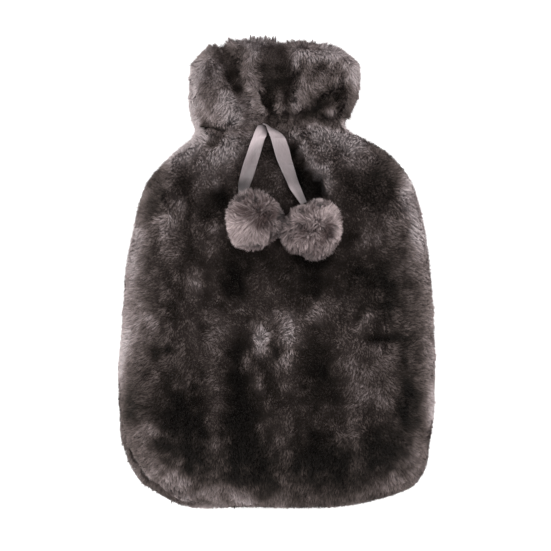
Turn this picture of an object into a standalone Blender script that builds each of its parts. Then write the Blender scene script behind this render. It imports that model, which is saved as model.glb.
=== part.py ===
"""Faux-fur cover for a hot water bottle, empty and lying on its back.

Two fur panels, each a thick slab of backing cloth and pile, are sewn together
along their sides and bottom and stay open at the collar. A satin ribbon draws
in the neck, and its two tails end in pompoms. +Y runs from the bottom edge to
the collar, +X to the right in front view and +Z out of the front panel. The
underside of the back panel lies on z = 0. Tables and sizes are in millimetres.
"""
import math
import random
from collections import namedtuple

import bmesh
import bpy
import numpy as np
from mathutils import Euler, Vector, noise
from mathutils.bvhtree import BVHTree

MM = 0.001
GAP = 0.3                    # between neighbouring solids

# The cover as it lies, held out to the shape of the bottle that it fits
SEAM_HEIGHT = 26.0           # plane of the side and bottom seams
SEAM_VALLEY = 2.5            # how far the seam lies in behind the pile
PILE_LIFT = 5.0              # from the seam to the widest point of the pile
SIDE_WALL = 13.0             # backing and pile at the sides and the bottom
LIP_DEPTH = 7.0              # rounding of the collar's open edge
POCKET_ROUND = 15.0          # rounded border of the hollow inside
BACK_ROUND = 40.0            # rounded border of the back panel
ROUNDNESS = 2.3              # exponent of every rounded border
CORNER_FADE = 75.0           # how far up the curve of the bottom edge is felt

# Outline of the cover and its heights, from the bottom corners to the mouth
Station = namedtuple("Station", "along left right crown underside ceiling floor border")
STATIONS = (
    Station(-157.2, -98.0, 100.5, 57.0, 0.0, 45.0, 11.0, 56.0),
    Station(-148.3, -104.0, 106.4, 58.0, 0.0, 46.0, 11.0, 57.0),
    Station(-139.4, -109.5, 110.0, 59.0, 0.0, 47.0, 11.0, 58.0),
    Station(-127.0, -113.8, 112.8, 60.0, 0.0, 48.0, 11.0, 58.0),
    Station(-104.0, -116.4, 116.2, 61.0, 0.0, 49.0, 11.0, 58.0),
    Station(-70.0, -115.8, 116.4, 61.8, 0.0, 49.5, 11.0, 58.0),
    Station(-41.5, -113.9, 115.9, 62.0, 0.0, 49.5, 11.0, 58.0),
    Station(3.0, -110.9, 113.0, 61.5, 0.0, 49.0, 11.0, 57.0),
    Station(38.6, -105.0, 108.2, 59.5, 0.0, 47.0, 11.0, 55.0),
    Station(65.0, -97.0, 101.0, 56.0, 0.0, 43.5, 11.5, 50.0),
    Station(83.0, -81.5, 88.5, 52.5, 1.5, 40.0, 13.0, 42.0),
    Station(92.0, -71.5, 77.5, 50.0, 3.0, 38.0, 14.0, 36.0),
    Station(99.0, -62.0, 64.0, 48.0, 4.0, 36.5, 15.0, 32.0),
    Station(104.0, -60.0, 53.5, 47.0, 4.5, 36.0, 15.5, 28.0),
    Station(109.0, -61.3, 51.0, 46.5, 4.5, 36.0, 15.5, 27.0),
    Station(116.0, -62.8, 55.0, 47.5, 4.0, 36.0, 15.0, 27.0),
    Station(131.0, -63.3, 59.5, 50.0, 2.5, 37.0, 14.0, 28.0),
    Station(151.0, -62.7, 61.0, 50.5, 1.2, 38.0, 13.0, 28.0),
    Station(158.0, -60.0, 57.5, 49.5, 1.2, 38.0, 13.0, 28.0),
)

# Bottom edge between the two lower corners, and the collar's open edge
Edge = namedtuple("Edge", "across along")
BOTTOM_EDGE = (
    Edge(-98.0, -157.2), Edge(-84.0, -165.0), Edge(-68.0, -171.5), Edge(-50.0, -174.4),
    Edge(-20.0, -175.0), Edge(20.0, -175.0), Edge(43.0, -174.5), Edge(62.0, -172.2),
    Edge(77.0, -169.0), Edge(88.0, -165.0), Edge(100.5, -157.2),
)
MOUTH_EDGE = (
    Edge(-60.0, 158.0), Edge(-55.0, 162.5), Edge(-45.0, 166.3), Edge(-34.0, 168.5),
    Edge(-18.0, 170.8), Edge(-9.0, 170.8), Edge(6.0, 168.8), Edge(20.0, 168.2),
    Edge(38.0, 166.5), Edge(50.0, 162.8), Edge(57.5, 158.0),
)

# At its lower left corner the front panel is drawn in and shows the back panel
DRAWN_IN = 8.0
DRAWN_IN_CORNER = (-86.0, -160.0)
DRAWN_IN_REACH = 46.0
DRAWN_IN_TOWARDS = (-10.0, -60.0)

# Folds of the front panel: troughs have a depth below zero, ridges above it
Fold = namedtuple("Fold", "path depths widths")
FRONT_FOLDS = (
    # pleats of the collar, from its left side to its right
    Fold(((-43, 172), (-35, 153), (-28, 131), (-22.5, 121), (-22, 108)), (-8.0, -6.0), (8.0, 3.6)),
    Fold(((3, 176), (3, 150), (0, 134)), (-7.0, -4.5), (13.0, 7.0)),
    Fold(((-8, 160), (-8, 143), (-5.5, 127), (-3.7, 110)), (-3.5, -5.0), (5.0, 3.2)),
    Fold(((9, 152), (8, 131), (8, 110)), (-3.0, -5.0), (4.5, 3.2)),
    Fold(((62, 138), (42, 129), (18, 114)), (-6.0, -5.0), (5.5, 4.0)),
    Fold(((30, 172), (36, 152), (46, 146)), (-4.0, -2.5), (7.0, 6.0)),
    Fold(((-24, 170), (-19, 142), (-13, 116)), (2.0, 2.0), (7.0, 4.5)),
    Fold(((16, 170), (22, 142), (15, 120)), (2.0, 2.5), (7.0, 5.0)),
    Fold(((-55, 130), (-41, 112)), (3.0, 3.0), (9.0, 8.0)),
    # creases where the ribbon draws the neck in
    Fold(((-62, 103), (-52, 107), (-38, 103), (-27, 105)), (-7.0, -3.5), (4.0, 3.0)),
    Fold(((56, 106), (40, 109), (20, 110)), (-7.0, -3.5), (5.0, 3.5)),
    Fold(((-27, 106), (-10, 110), (20, 110)), (-2.5, -2.5), (5.0, 5.0)),
    Fold(((-11, 109), (-7, 108)), (-3.5, -3.5), (3.5, 3.5)),
    Fold(((-45, 95), (-30, 102)), (-3.0, -3.5), (3.5, 3.0)),
    # hollows that run down from the neck beside the pompoms
    Fold(((6, 101), (17, 84), (25, 70), (29, 54)), (-4.0, -6.5), (5.0, 9.5)),
    Fold(((14, 99), (27, 86), (37, 72), (41, 50)), (3.0, 3.0), (4.5, 6.0)),
    Fold(((-20, 103), (-33, 82), (-45, 54)), (-4.5, -2.0), (5.0, 9.0)),
    Fold(((48, 99), (62, 84), (70, 62)), (-2.5, -1.5), (6.0, 10.0)),
    Fold(((-48, 93), (-64, 76), (-74, 58)), (-2.0, -1.5), (6.0, 10.0)),
    # lengthwise ribs of the pile, and brushed dents
    Fold(((-46, -10), (-46, -150)), (0.6, 1.6), (9.0, 9.0)),
    Fold(((5, -20), (5, -158)), (0.8, 1.8), (9.0, 9.0)),
    Fold(((56, -5), (56, -150)), (0.8, 1.6), (9.0, 9.0)),
    Fold(((-14, -42), (12, -56)), (1.6, 1.6), (11.0, 11.0)),
    Fold(((-64, 16), (-36, -34)), (-1.8, -1.4), (16.0, 18.0)),
    Fold(((60, 20), (40, -20)), (-1.6, -1.2), (16.0, 16.0)),
    Fold(((-84, -70), (-66, -112)), (-1.6, -1.4), (14.0, 14.0)),
)
# Gathers on the back of the collar and neck
BACK_FOLDS = (
    Fold(((-44, 168), (-36, 132), (-30, 96)), (-4.0, -3.5), (7.0, 5.0)),
    Fold(((-16, 168), (-12, 132), (-11, 92)), (-4.5, -3.5), (7.0, 4.5)),
    Fold(((12, 168), (9, 132), (8, 94)), (-4.0, -3.5), (6.5, 4.5)),
    Fold(((42, 168), (34, 132), (28, 96)), (-4.5, -3.5), (7.0, 5.0)),
    Fold(((-62, 105), (-30, 106), (25, 107), (56, 107)), (-3.0, -3.0), (5.0, 5.0)),
)
FOLD_FADE = 12.0             # folds and lumps die out this near the outline
LUMP_HEIGHT = 1.5
LUMP_SPACING = 21.0

# Steps of the mesh. The hollow inside has one step for POCKET_STEP of these
POCKET_STEP = 4
FRONT_COLUMNS = 44
FRONT_ROWS = 56
BACK_COLUMNS = 24
BACK_ROWS = 36
SIDE_CROWDING = 0.62         # how far the columns crowd towards the sides
LOWER_ROW_STEPS = (0.0, 0.6, 2.4, 5.2, 9.2, 14.6)
LIP_ROW_STEPS = (0.92, 0.6, 0.26, 0.0)
NECK_ROWS_START = 74.0       # rows lie closer together above this line
NECK_ROWS_SHARE = 0.44

# Locks of pile that stand out at the rims
RIM_LOCK = 6.4               # length of a lock on the collar's open edge
RIM_LOCK_LEAN = 1.2          # its tip leans up to this far to either side
RIM_LOCK_RISE = (0.8, 2.2)   # and rises this far away from the seam
SIDE_LOCK = 1.8
SIDE_LOCK_RISE = 0.5         # as a share of its length
LOCK_LENGTHS = (0.7, 1.1)    # least and greatest, as shares of the length
FRONT_RIM_LOCKS = 2          # one lock for this many columns
BACK_RIM_LOCKS = 2
SIDE_LOCK_EVERY = 4          # one lock for this many rows

# Ribbon tails: path on the front panel, seen from above, and how they lie
RIBBON_WIDTH = 10.5
RIBBON_THICKNESS = 1.0
RIBBON_STEPS = 26
RIBBON_COLUMNS = 4
RIBBON_CLEARANCE = 0.5
RIBBON_SETTLING = 12         # rounds of smoothing along a tail
STRAIGHT = 0.01              # a bend under this, in radians, is taken as none
ENTRY_DROP = 5.0             # how far below its middle a ribbon reaches a pompom
ENTRY_CURL = 0.8
Tail = namedtuple("Tail", "across along lift turn curl")
LEFT_TAIL = (
    Tail(-12.9, 108.6, 0.0, 12.0, 1.7),
    Tail(-13.3, 103.4, 1.2, 12.0, 0.8),
    Tail(-14.8, 94.2, 1.4, 6.0, 0.10),
    Tail(-17.8, 83.0, 1.0, 2.0, 0.06),
    Tail(-21.4, 71.2, 1.5, -4.0, 0.08),
    Tail(-23.6, 63.0, 2.6, -8.0, 0.18),
    Tail(-24.6, 58.6, 4.0, -10.0, 0.35),
)
RIGHT_TAIL = (
    Tail(-6.4, 109.8, 0.0, -14.0, 1.9),
    Tail(-3.4, 105.6, 1.4, -22.0, 1.0),
    Tail(-0.4, 100.1, 1.4, -16.0, 0.25),
    Tail(2.3, 94.0, 1.2, -2.0, 0.08),
    Tail(5.7, 83.0, 1.4, 14.0, 0.06),
    Tail(9.6, 71.2, 2.4, 30.0, 0.08),
    Tail(13.4, 62.3, 3.6, 42.0, 0.14),
    Tail(16.4, 56.8, 5.0, 48.0, 0.30),
)

# Pompoms: a wound core with locks of pile, which the ribbon's ends reach
Pompom = namedtuple("Pompom", "across along radius turn seed")
LEFT_POMPOM = Pompom(-16.6, 38.2, 22.3, (24.0, 33.0, 10.0), 11)
RIGHT_POMPOM = Pompom(26.9, 31.1, 23.0, (-31.0, 14.0, 40.0), 23)
POMPOM_CELLS = 4             # squares along each edge of the cube that is rounded
CORE_SHARE = 0.60            # radius of the core, as a share of the pompom's
COLLAR_SHARE = 0.86          # where a lock starts to close to its tip
LOCK_TAPER = 0.74
SINK_SHARE = 0.80            # height of the centre over the fur, in radii
ENTRY_ANGLE = 19.0           # locks left out this near to the ribbon
ENTRY_REACH = 1.12           # the ribbon counts as near within so many radii
LOCK_CLEARANCE = 0.9
CLEARANCE_TRIALS = 24        # lengths tried for a lock until it clears
BALL_LOCK_LEAN = 0.10
BALL_LOCK_REACH = (0.95, 1.03)       # shortest and longest, in radii
LEAN_AT_COLLAR = 0.5         # share of the lean that a lock has there

OVER_ALL = 168.0             # a height above every piece
SHARP_EDGE = 50.0            # degrees between faces that aren't shaded as one
PELT_COLOUR = (0.055, 0.045, 0.043)
SATIN_COLOUR = (0.42, 0.35, 0.37)
POMPOM_COLOUR = (0.20, 0.16, 0.16)


def column(table, name):
    """One named column of a table as an array."""
    return np.array([getattr(row, name) for row in table], dtype=float)


def slopes(x, y):
    """Slopes at the points of a smooth curve that never overshoots them."""
    widths = np.diff(x)
    rises = np.diff(y) / widths
    result = np.zeros_like(y)
    result[0] = rises[0]
    result[-1] = rises[-1]
    for k in range(1, len(y) - 1):
        if rises[k - 1] * rises[k] > 0:
            first = 2 * widths[k] + widths[k - 1]
            second = widths[k] + 2 * widths[k - 1]
            result[k] = (first + second) / (first / rises[k - 1] + second / rises[k])
    return result


def smooth_curve(x, y, wanted):
    """Height of the smooth curve through (x, y) at the wanted places."""
    wanted = np.clip(wanted, x[0], x[-1])
    index = np.clip(np.searchsorted(x, wanted) - 1, 0, len(x) - 2)
    width = x[index + 1] - x[index]
    t = (wanted - x[index]) / width
    slope = slopes(x, y)
    start = (1 + 2 * t) * (1 - t) ** 2 * y[index] + t * (1 - t) ** 2 * width * slope[index]
    end = t * t * (3 - 2 * t) * y[index + 1] - t * t * (1 - t) * width * slope[index + 1]
    return start + end


def station(name, along):
    """A named column of the stations, read at any place along the cover."""
    return smooth_curve(column(STATIONS, "along"), column(STATIONS, name), along)


def edge_line(edge, across):
    """Where an edge runs, at any place across the cover."""
    return smooth_curve(column(edge, "across"), column(edge, "along"), across)


def border_curve(distance, reach):
    """0 at the border, rising round to 1 at the reach."""
    inward = 1 - np.clip(distance / reach, 0, 1)
    return (1 - inward ** ROUNDNESS) ** (1 / ROUNDNESS)


def distance_to_path(x, y, path):
    """Distance of points from a path, and their share of the way along it."""
    nearest = np.full(x.shape, np.inf)
    share = np.zeros(x.shape)
    corners = np.array(path, dtype=float)
    lengths = np.hypot(*np.diff(corners, axis=0).T)
    passed = np.concatenate(([0], np.cumsum(lengths)))
    for k, length in enumerate(lengths):
        start = corners[k]
        run = (corners[k + 1] - start) / length
        t = np.clip((x - start[0]) * run[0] + (y - start[1]) * run[1], 0, length)
        gap = np.hypot(x - start[0] - t * run[0], y - start[1] - t * run[1])
        closer = gap < nearest
        nearest = np.where(closer, gap, nearest)
        share = np.where(closer, (passed[k] + t) / passed[-1], share)
    return nearest, share


def fold_relief(x, y, folds):
    """Sum of all folds at the given points."""
    relief = np.zeros(x.shape)
    for fold in folds:
        distance, share = distance_to_path(x, y, fold.path)
        depth = fold.depths[0] + (fold.depths[1] - fold.depths[0]) * share
        width = fold.widths[0] + (fold.widths[1] - fold.widths[0]) * share
        relief += depth * np.exp(-(distance / width) ** 2)
    return relief


def lumps(x, y, shift):
    """Soft unevenness of brushed pile."""
    values = np.empty(x.shape)
    for place in np.ndindex(x.shape):
        spot = Vector((x[place] / LUMP_SPACING, y[place] / LUMP_SPACING, shift))
        values[place] = noise.noise(spot)
    return LUMP_HEIGHT * values


def row_lines(rows):
    """Height along the sides of each row of a panel's mesh."""
    start = STATIONS[0].along
    end = STATIONS[-1].along
    lower = [start + step for step in LOWER_ROW_STEPS]
    upper = [end - LIP_DEPTH * step for step in LIP_ROW_STEPS]
    between = rows + 1 - len(lower) - len(upper)
    neck_rows = round(between * NECK_ROWS_SHARE)
    body_rows = between - neck_rows
    body = np.linspace(lower[-1], NECK_ROWS_START, body_rows + 1)[1:]
    neck = np.linspace(NECK_ROWS_START, upper[0], neck_rows + 2)[1:-1]
    return np.concatenate((lower, body, neck, upper))


def panel_plan(rows, columns, drawn_in):
    """Places of a panel's outer points seen from above, row by row."""
    even = np.linspace(-1, 1, columns + 1)
    crowded = SIDE_CROWDING * np.sin(even * math.pi / 2) + (1 - SIDE_CROWDING) * even
    side, across = np.meshgrid(row_lines(rows), crowded, indexing="ij")
    left = station("left", side)
    right = station("right", side)
    x = left + (right - left) * (across + 1) / 2
    start = STATIONS[0].along
    end = STATIONS[-1].along
    lower_x = STATIONS[0].left + (STATIONS[0].right - STATIONS[0].left) * (across + 1) / 2
    upper_x = STATIONS[-1].left + (STATIONS[-1].right - STATIONS[-1].left) * (across + 1) / 2
    lower = np.clip(1 - (side - start) / CORNER_FADE, 0, 1) ** 2
    upper = np.clip((side - NECK_ROWS_START) / (end - NECK_ROWS_START), 0, 1)
    y = side + (edge_line(BOTTOM_EDGE, lower_x) - start) * lower
    y = y + (edge_line(MOUTH_EDGE, upper_x) - end) * upper
    if drawn_in:
        corner_gap = np.hypot(x - DRAWN_IN_CORNER[0], y - DRAWN_IN_CORNER[1])
        amount = DRAWN_IN * np.exp(-(corner_gap / DRAWN_IN_REACH) ** 2)
        run_x = DRAWN_IN_TOWARDS[0] - x
        run_y = DRAWN_IN_TOWARDS[1] - y
        length = np.maximum(np.hypot(run_x, run_y), SIDE_WALL)
        x = x + amount * run_x / length
        y = y + amount * run_y / length
    return x, y


def border_path(x, y):
    """The outline of a panel without its mouth, from top left round to top right."""
    rim = border_places(x.shape[0] - 1, x.shape[1] - 1)
    return [(x[place], y[place]) for place in rim]


def border_places(rows, columns):
    """Row and column of each point of that outline."""
    left = [(row, 0) for row in range(rows, 0, -1)]
    bottom = [(0, k) for k in range(columns)]
    right = [(row, columns) for row in range(rows + 1)]
    return left + bottom + right


def pocket_plan(x, y):
    """Places of the hollow's points seen from above, SIDE_WALL inside the outline."""
    x = x[::POCKET_STEP, ::POCKET_STEP]
    y = y[::POCKET_STEP, ::POCKET_STEP]
    middle = (x[:, :1] + x[:, -1:]) / 2
    half = (x[:, -1:] - x[:, :1]) / 2
    length = y[-1:, :] - y[:1, :]
    inner_x = middle + (x - middle) * (1 - SIDE_WALL / half)
    inner_y = y + SIDE_WALL * (y[-1:, :] - y) / length
    inner_y[-1, :] -= LIP_DEPTH
    return inner_x, inner_y


def outer_heights(x, y, face):
    """Heights of a panel's pile above or below the seam; face is 1 or -1."""
    distance, _ = distance_to_path(x, y, border_path(x, y))
    if face > 0:
        top = station("crown", y) - SEAM_HEIGHT
        reach = station("border", y)
        folds = fold_relief(x, y, FRONT_FOLDS) + lumps(x, y, 0.0)
    else:
        top = SEAM_HEIGHT - station("underside", y)
        reach = np.minimum(station("border", y), BACK_ROUND)
        folds = fold_relief(x, y, BACK_FOLDS)
    fade = np.clip(distance / FOLD_FADE, 0, 1)
    height = PILE_LIFT + (top - PILE_LIFT) * border_curve(distance, reach)
    return height + folds * fade * fade * (3 - 2 * fade)


def pocket_heights(x, y, face):
    """Heights of the hollow's inside above or below the seam."""
    distance, _ = distance_to_path(x, y, border_path(x, y))
    if face > 0:
        top = station("ceiling", y) - SEAM_HEIGHT
    else:
        top = SEAM_HEIGHT - station("floor", y)
    return top * border_curve(distance, POCKET_ROUND)


def round_lip(x, y, height, pocket):
    """Bend the last rows of a panel down to the middle of its wall."""
    pocket_x, pocket_height = pocket
    even = np.linspace(0, 1, x.shape[1])
    coarse = np.linspace(0, 1, pocket_x.shape[1])
    middle_x = (x[-1] + np.interp(even, coarse, pocket_x[-1])) / 2
    middle_height = (height[-1] + np.interp(even, coarse, pocket_height[-1])) / 2
    middle_height[0] = 0.0
    middle_height[-1] = 0.0
    to_edge = np.clip((y[-1:] - y) / LIP_DEPTH, 0, 1)
    bend = 1 - np.sqrt(1 - (1 - to_edge) ** 2)
    return x + (middle_x - x) * bend, height + (middle_height - height) * bend, bend


def seam_line(x, y, bend):
    """Points on the seam plane, SEAM_VALLEY inside the widest line of the pile."""
    path = np.array(border_path(x, y))
    run = np.gradient(path, axis=0)
    run /= np.hypot(run[:, 0], run[:, 1])[:, None]
    inward = np.stack((-run[:, 1], run[:, 0]), axis=1)
    places = border_places(x.shape[0] - 1, x.shape[1] - 1)
    depth = np.array([SEAM_VALLEY * (1 - bend[place]) for place in places])
    return path + inward * depth[:, None]


def stitch(bm, fine, coarse):
    """Faces from a row of points to another with one point for POCKET_STEP."""
    half = POCKET_STEP // 2
    for k in range(len(coarse) - 1):
        first = k * POCKET_STEP
        for j in range(first, first + half):
            bm.faces.new((coarse[k], fine[j], fine[j + 1]))
        bm.faces.new((coarse[k], fine[first + half], coarse[k + 1]))
        for j in range(first + half, first + POCKET_STEP):
            bm.faces.new((coarse[k + 1], fine[j], fine[j + 1]))


def quads(bm, points):
    """Faces over a grid of points, with each face's row and column."""
    faces = {}
    for row in range(len(points) - 1):
        for k in range(len(points[0]) - 1):
            ring = (points[row][k], points[row][k + 1], points[row + 1][k + 1], points[row + 1][k])
            faces[row, k] = bm.faces.new(ring)
    return faces


def raise_lock(bm, face, reach):
    """Draw a face out to a lock of four sides; reach is its tip from the middle."""
    tip = bm.verts.new(face.calc_center_median() + reach)
    corners = list(face.verts)
    bm.faces.remove(face)
    for k, corner in enumerate(corners):
        bm.faces.new((corner, corners[(k + 1) % len(corners)], tip))


def panel_locks(bm, faces, rows, columns, face, every):
    """Locks along the collar's open edge and down both sides of a panel."""
    rng = random.Random(rows)
    lip_row = rows - len(LIP_ROW_STEPS) + 1
    for k in range(1, columns - 1, every):
        row = lip_row + rng.choice((0, 1))
        lean = rng.uniform(-RIM_LOCK_LEAN, RIM_LOCK_LEAN)
        length = RIM_LOCK * rng.uniform(*LOCK_LENGTHS)
        rise = rng.uniform(*RIM_LOCK_RISE)
        raise_lock(bm, faces[row, k], Vector((lean, length, face * rise)))
    for row in range(len(LOWER_ROW_STEPS), lip_row - 1, SIDE_LOCK_EVERY):
        for k, side in ((0, -1), (columns - 1, 1)):
            length = SIDE_LOCK * rng.uniform(*LOCK_LENGTHS)
            raise_lock(bm, faces[row, k], Vector((side, -1, face * SIDE_LOCK_RISE)) * length)


def panel_mesh(rows, columns, face, drawn_in, lock_every):
    """One fur panel: pile outside, backing inside, and its flat seam."""
    x, y = panel_plan(rows, columns, drawn_in)
    height = outer_heights(x, y, face)
    inner_x, inner_y = pocket_plan(x, y)
    inner_height = pocket_heights(inner_x, inner_y, face)
    x, height, bend = round_lip(x, y, height, (inner_x, inner_height))
    seam = SEAM_HEIGHT + face * GAP / 2

    bm = bmesh.new()

    def points(plan_x, plan_y, heights):
        return [[bm.verts.new((plan_x[row, k], plan_y[row, k], seam + face * heights[row, k]))
                 for k in range(plan_x.shape[1])] for row in range(plan_x.shape[0])]

    outer = points(x, y, height)
    inner = points(inner_x, inner_y, inner_height)
    border = [outer[row][k] for row, k in border_places(rows, columns)]
    inner_rows = rows // POCKET_STEP
    inner_columns = columns // POCKET_STEP
    inner_border = [inner[row][k] for row, k in border_places(inner_rows, inner_columns)]
    line = seam_line(x, y, bend)
    low = [border[0]] + [bm.verts.new((*spot, seam)) for spot in line[1:-1]] + [border[-1]]

    faces = quads(bm, outer)
    quads(bm, inner)
    bm.faces.new((border[0], border[1], low[1]))
    for k in range(1, len(border) - 2):
        bm.faces.new((border[k], border[k + 1], low[k + 1], low[k]))
    bm.faces.new((border[-2], border[-1], low[-2]))
    stitch(bm, low, inner_border)
    stitch(bm, outer[-1], inner[-1])
    panel_locks(bm, faces, rows, columns, face, lock_every)
    bmesh.ops.triangulate(bm, faces=bm.faces[:])
    bmesh.ops.recalc_face_normals(bm, faces=bm.faces[:])
    return bm


def read_path(table, count):
    """A tail's table read smoothly at an even number of steps."""
    across = column(table, "across")
    along = column(table, "along")
    travel = np.concatenate(([0], np.cumsum(np.hypot(np.diff(across), np.diff(along)))))
    steps = np.linspace(0, travel[-1], count)
    return {name: smooth_curve(travel, column(table, name), steps) for name in Tail._fields}


def surface_height(tree, x, y):
    """Height of the front panel's pile at a place seen from above."""
    hit = tree.ray_cast(Vector((x, y, OVER_ALL)), Vector((0, 0, -1)))[0]
    return hit.z if hit else SEAM_HEIGHT


def tail_to_core(table, pompom, centre, tree):
    """A tail's table with one more row, at the pompom's core."""
    last = table[-1]
    way = Vector((last.across - centre.x, last.along - centre.y, -ENTRY_DROP)).normalized()
    end = centre + way * (pompom.radius * CORE_SHARE + GAP + RIBBON_THICKNESS)
    lift = end.z - surface_height(tree, end.x, end.y) - RIBBON_CLEARANCE
    return table + (Tail(end.x, end.y, lift, last.turn, ENTRY_CURL),)


def tail_mesh(table, tree):
    """One ribbon tail, lying on the pile from the neck to its pompom."""
    path = read_path(table, RIBBON_STEPS)
    run_x = np.gradient(path["across"])
    run_y = np.gradient(path["along"])
    length = np.hypot(run_x, run_y)
    shares = np.linspace(-0.5, 0.5, RIBBON_COLUMNS + 1)
    sections = []
    bases = []
    for k in range(RIBBON_STEPS):
        side = Vector((-run_y[k], run_x[k], 0)) / length[k]
        bend = path["curl"][k] * math.pi
        section = []
        for share in shares:
            angle = share * bend
            if abs(bend) > STRAIGHT:
                out = RIBBON_WIDTH * math.sin(angle) / bend
                up = RIBBON_WIDTH * (math.cos(angle) - 1) / bend
            else:
                out = RIBBON_WIDTH * share
                up = 0.0
            turn = math.radians(path["turn"][k])
            flat = out * math.cos(turn) - up * math.sin(turn)
            rise = out * math.sin(turn) + up * math.cos(turn)
            normal = math.radians(path["turn"][k]) - angle
            section.append((side * flat, rise, normal))
        here = Vector((path["across"][k], path["along"][k], 0))
        base = max(surface_height(tree, *(here + step).xy) - rise for step, rise, _ in section)
        sections.append((here, side, section))
        bases.append(base + RIBBON_CLEARANCE + RIBBON_THICKNESS / 2 + path["lift"][k])
    bases = settle(bases)

    bm = bmesh.new()
    rings = []
    for (here, side, section), base in zip(sections, bases):
        top = []
        under = []
        for step, rise, normal in section:
            out = side * -math.sin(normal) + Vector((0, 0, math.cos(normal)))
            spot = here + step + Vector((0, 0, base + rise))
            top.append(bm.verts.new(spot + out * RIBBON_THICKNESS / 2))
            under.append(bm.verts.new(spot - out * RIBBON_THICKNESS / 2))
        rings.append(top + under[::-1])
    for first, second in zip(rings, rings[1:]):
        for k in range(len(first)):
            other = (k + 1) % len(first)
            bm.faces.new((first[k], first[other], second[other], second[k]))
    for ring in (rings[0], rings[-1]):
        for k in range(RIBBON_COLUMNS):
            bm.faces.new((ring[k], ring[k + 1], ring[-k - 2], ring[-k - 1]))
    bmesh.ops.triangulate(bm, faces=bm.faces[:])
    bmesh.ops.recalc_face_normals(bm, faces=bm.faces[:])
    return bm


def settle(bases):
    """Smooth a row of least heights without going below any of them."""
    least = np.array(bases)
    heights = least.copy()
    for _ in range(RIBBON_SETTLING):
        smoothed = heights.copy()
        smoothed[1:-1] = (heights[:-2] + heights[1:-1] * 2 + heights[2:]) / 4
        heights = np.maximum(smoothed, least)
    return heights


def cube_cells(cells, turn):
    """Corner directions of the squares of a turned cube's sides, rounded to a ball."""
    turned = Euler([math.radians(angle) for angle in turn]).to_matrix()
    even = np.tan(np.linspace(-math.pi / 4, math.pi / 4, cells + 1))
    for axis in range(3):
        for side in (-1, 1):
            for row in range(cells):
                for k in range(cells):
                    corners = []
                    for a, b in ((row, k), (row + 1, k), (row + 1, k + 1), (row, k + 1)):
                        spot = [0, 0, 0]
                        spot[axis] = side
                        spot[(axis + 1) % 3] = even[a]
                        spot[(axis + 2) % 3] = even[b]
                        corners.append(turned @ Vector(spot).normalized())
                    yield corners


def pompom_centre(pompom, tree):
    """Where a pompom's middle lies when it has sunk a little into the fur."""
    ground = surface_height(tree, pompom.across, pompom.along)
    return Vector((pompom.across, pompom.along, ground + pompom.radius * SINK_SHARE))


def clear_reach(centre, spot, tree, plane):
    """Draw a point of a lock in until it clears the fur and the other pompom."""
    middle, out = plane
    for share in np.linspace(1, CORE_SHARE, CLEARANCE_TRIALS):
        trial = centre + (spot - centre) * share
        near, normal, _, _ = tree.find_nearest(trial)
        over_fur = (trial - near).dot(normal)
        if over_fur >= LOCK_CLEARANCE and (trial - middle).dot(out) >= GAP:
            return trial
    return trial


def pompom_mesh(pompom, centre, tree, plane, tail):
    """A wound ball whose locks share their roots on its core."""
    rng = random.Random(pompom.seed)
    bm = bmesh.new()
    roots = {}
    ways_in = [vert.co - centre for vert in tail.verts]
    ways_in = [way for way in ways_in if way.length < pompom.radius * ENTRY_REACH]

    def root(direction):
        key = tuple(round(value, 4) for value in direction)
        if key not in roots:
            roots[key] = bm.verts.new(centre + direction * pompom.radius * CORE_SHARE)
        return roots[key]

    for corners in cube_cells(POMPOM_CELLS, pompom.turn):
        base = [root(corner) for corner in corners]
        middle = sum(corners, Vector()).normalized()
        if any(math.degrees(middle.angle(way)) < ENTRY_ANGLE for way in ways_in):
            bm.faces.new(base)
            continue
        lean = Vector([rng.uniform(-BALL_LOCK_LEAN, BALL_LOCK_LEAN) for _ in range(3)])
        reach = pompom.radius * rng.uniform(*BALL_LOCK_REACH)
        ring = []
        for corner in corners:
            way = (middle + (corner - middle) * LOCK_TAPER + lean * LEAN_AT_COLLAR).normalized()
            spot = centre + way * pompom.radius * COLLAR_SHARE
            ring.append(bm.verts.new(clear_reach(centre, spot, tree, plane)))
        tip_spot = centre + (middle + lean).normalized() * reach
        tip = bm.verts.new(clear_reach(centre, tip_spot, tree, plane))
        for k in range(4):
            other = (k + 1) % 4
            bm.faces.new((base[k], base[other], ring[other], ring[k]))
            bm.faces.new((ring[k], ring[other], tip))
    bmesh.ops.triangulate(bm, faces=bm.faces[:])
    bmesh.ops.recalc_face_normals(bm, faces=bm.faces[:])
    return bm


def fur_material(name, colour):
    """Deep matt pile."""
    material = bpy.data.materials.new(name)
    material.use_nodes = True
    shader = material.node_tree.nodes["Principled BSDF"]
    shader.inputs["Base Color"].default_value = (*colour, 1.0)
    shader.inputs["Roughness"].default_value = 0.9
    shader.inputs["Sheen Weight"].default_value = 0.4
    return material


def satin_material(name, colour):
    """Smooth satin weave with a soft gloss."""
    material = bpy.data.materials.new(name)
    material.use_nodes = True
    shader = material.node_tree.nodes["Principled BSDF"]
    shader.inputs["Base Color"].default_value = (*colour, 1.0)
    shader.inputs["Roughness"].default_value = 0.35
    return material


def add_object(name, bm, material, offset):
    """Turn a mesh in millimetres into an object in metres."""
    bmesh.ops.translate(bm, verts=bm.verts[:], vec=offset)
    bmesh.ops.scale(bm, verts=bm.verts[:], vec=(MM, MM, MM))
    mesh = bpy.data.meshes.new(name)
    bm.to_mesh(mesh)
    bm.free()
    mesh.shade_smooth()
    mesh.set_sharp_from_angle(angle=math.radians(SHARP_EDGE))
    mesh.materials.append(material)
    part = bpy.data.objects.new(name, mesh)
    bpy.context.collection.objects.link(part)
    return part


def middle_offset(meshes):
    """Shift that centres the whole cover over the origin, and leaves its height."""
    spots = np.array([vert.co[:] for bm in meshes for vert in bm.verts])
    lowest = spots.min(axis=0)
    highest = spots.max(axis=0)
    centre = (lowest + highest) / 2
    return Vector((-centre[0], -centre[1], -lowest[2]))


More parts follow.
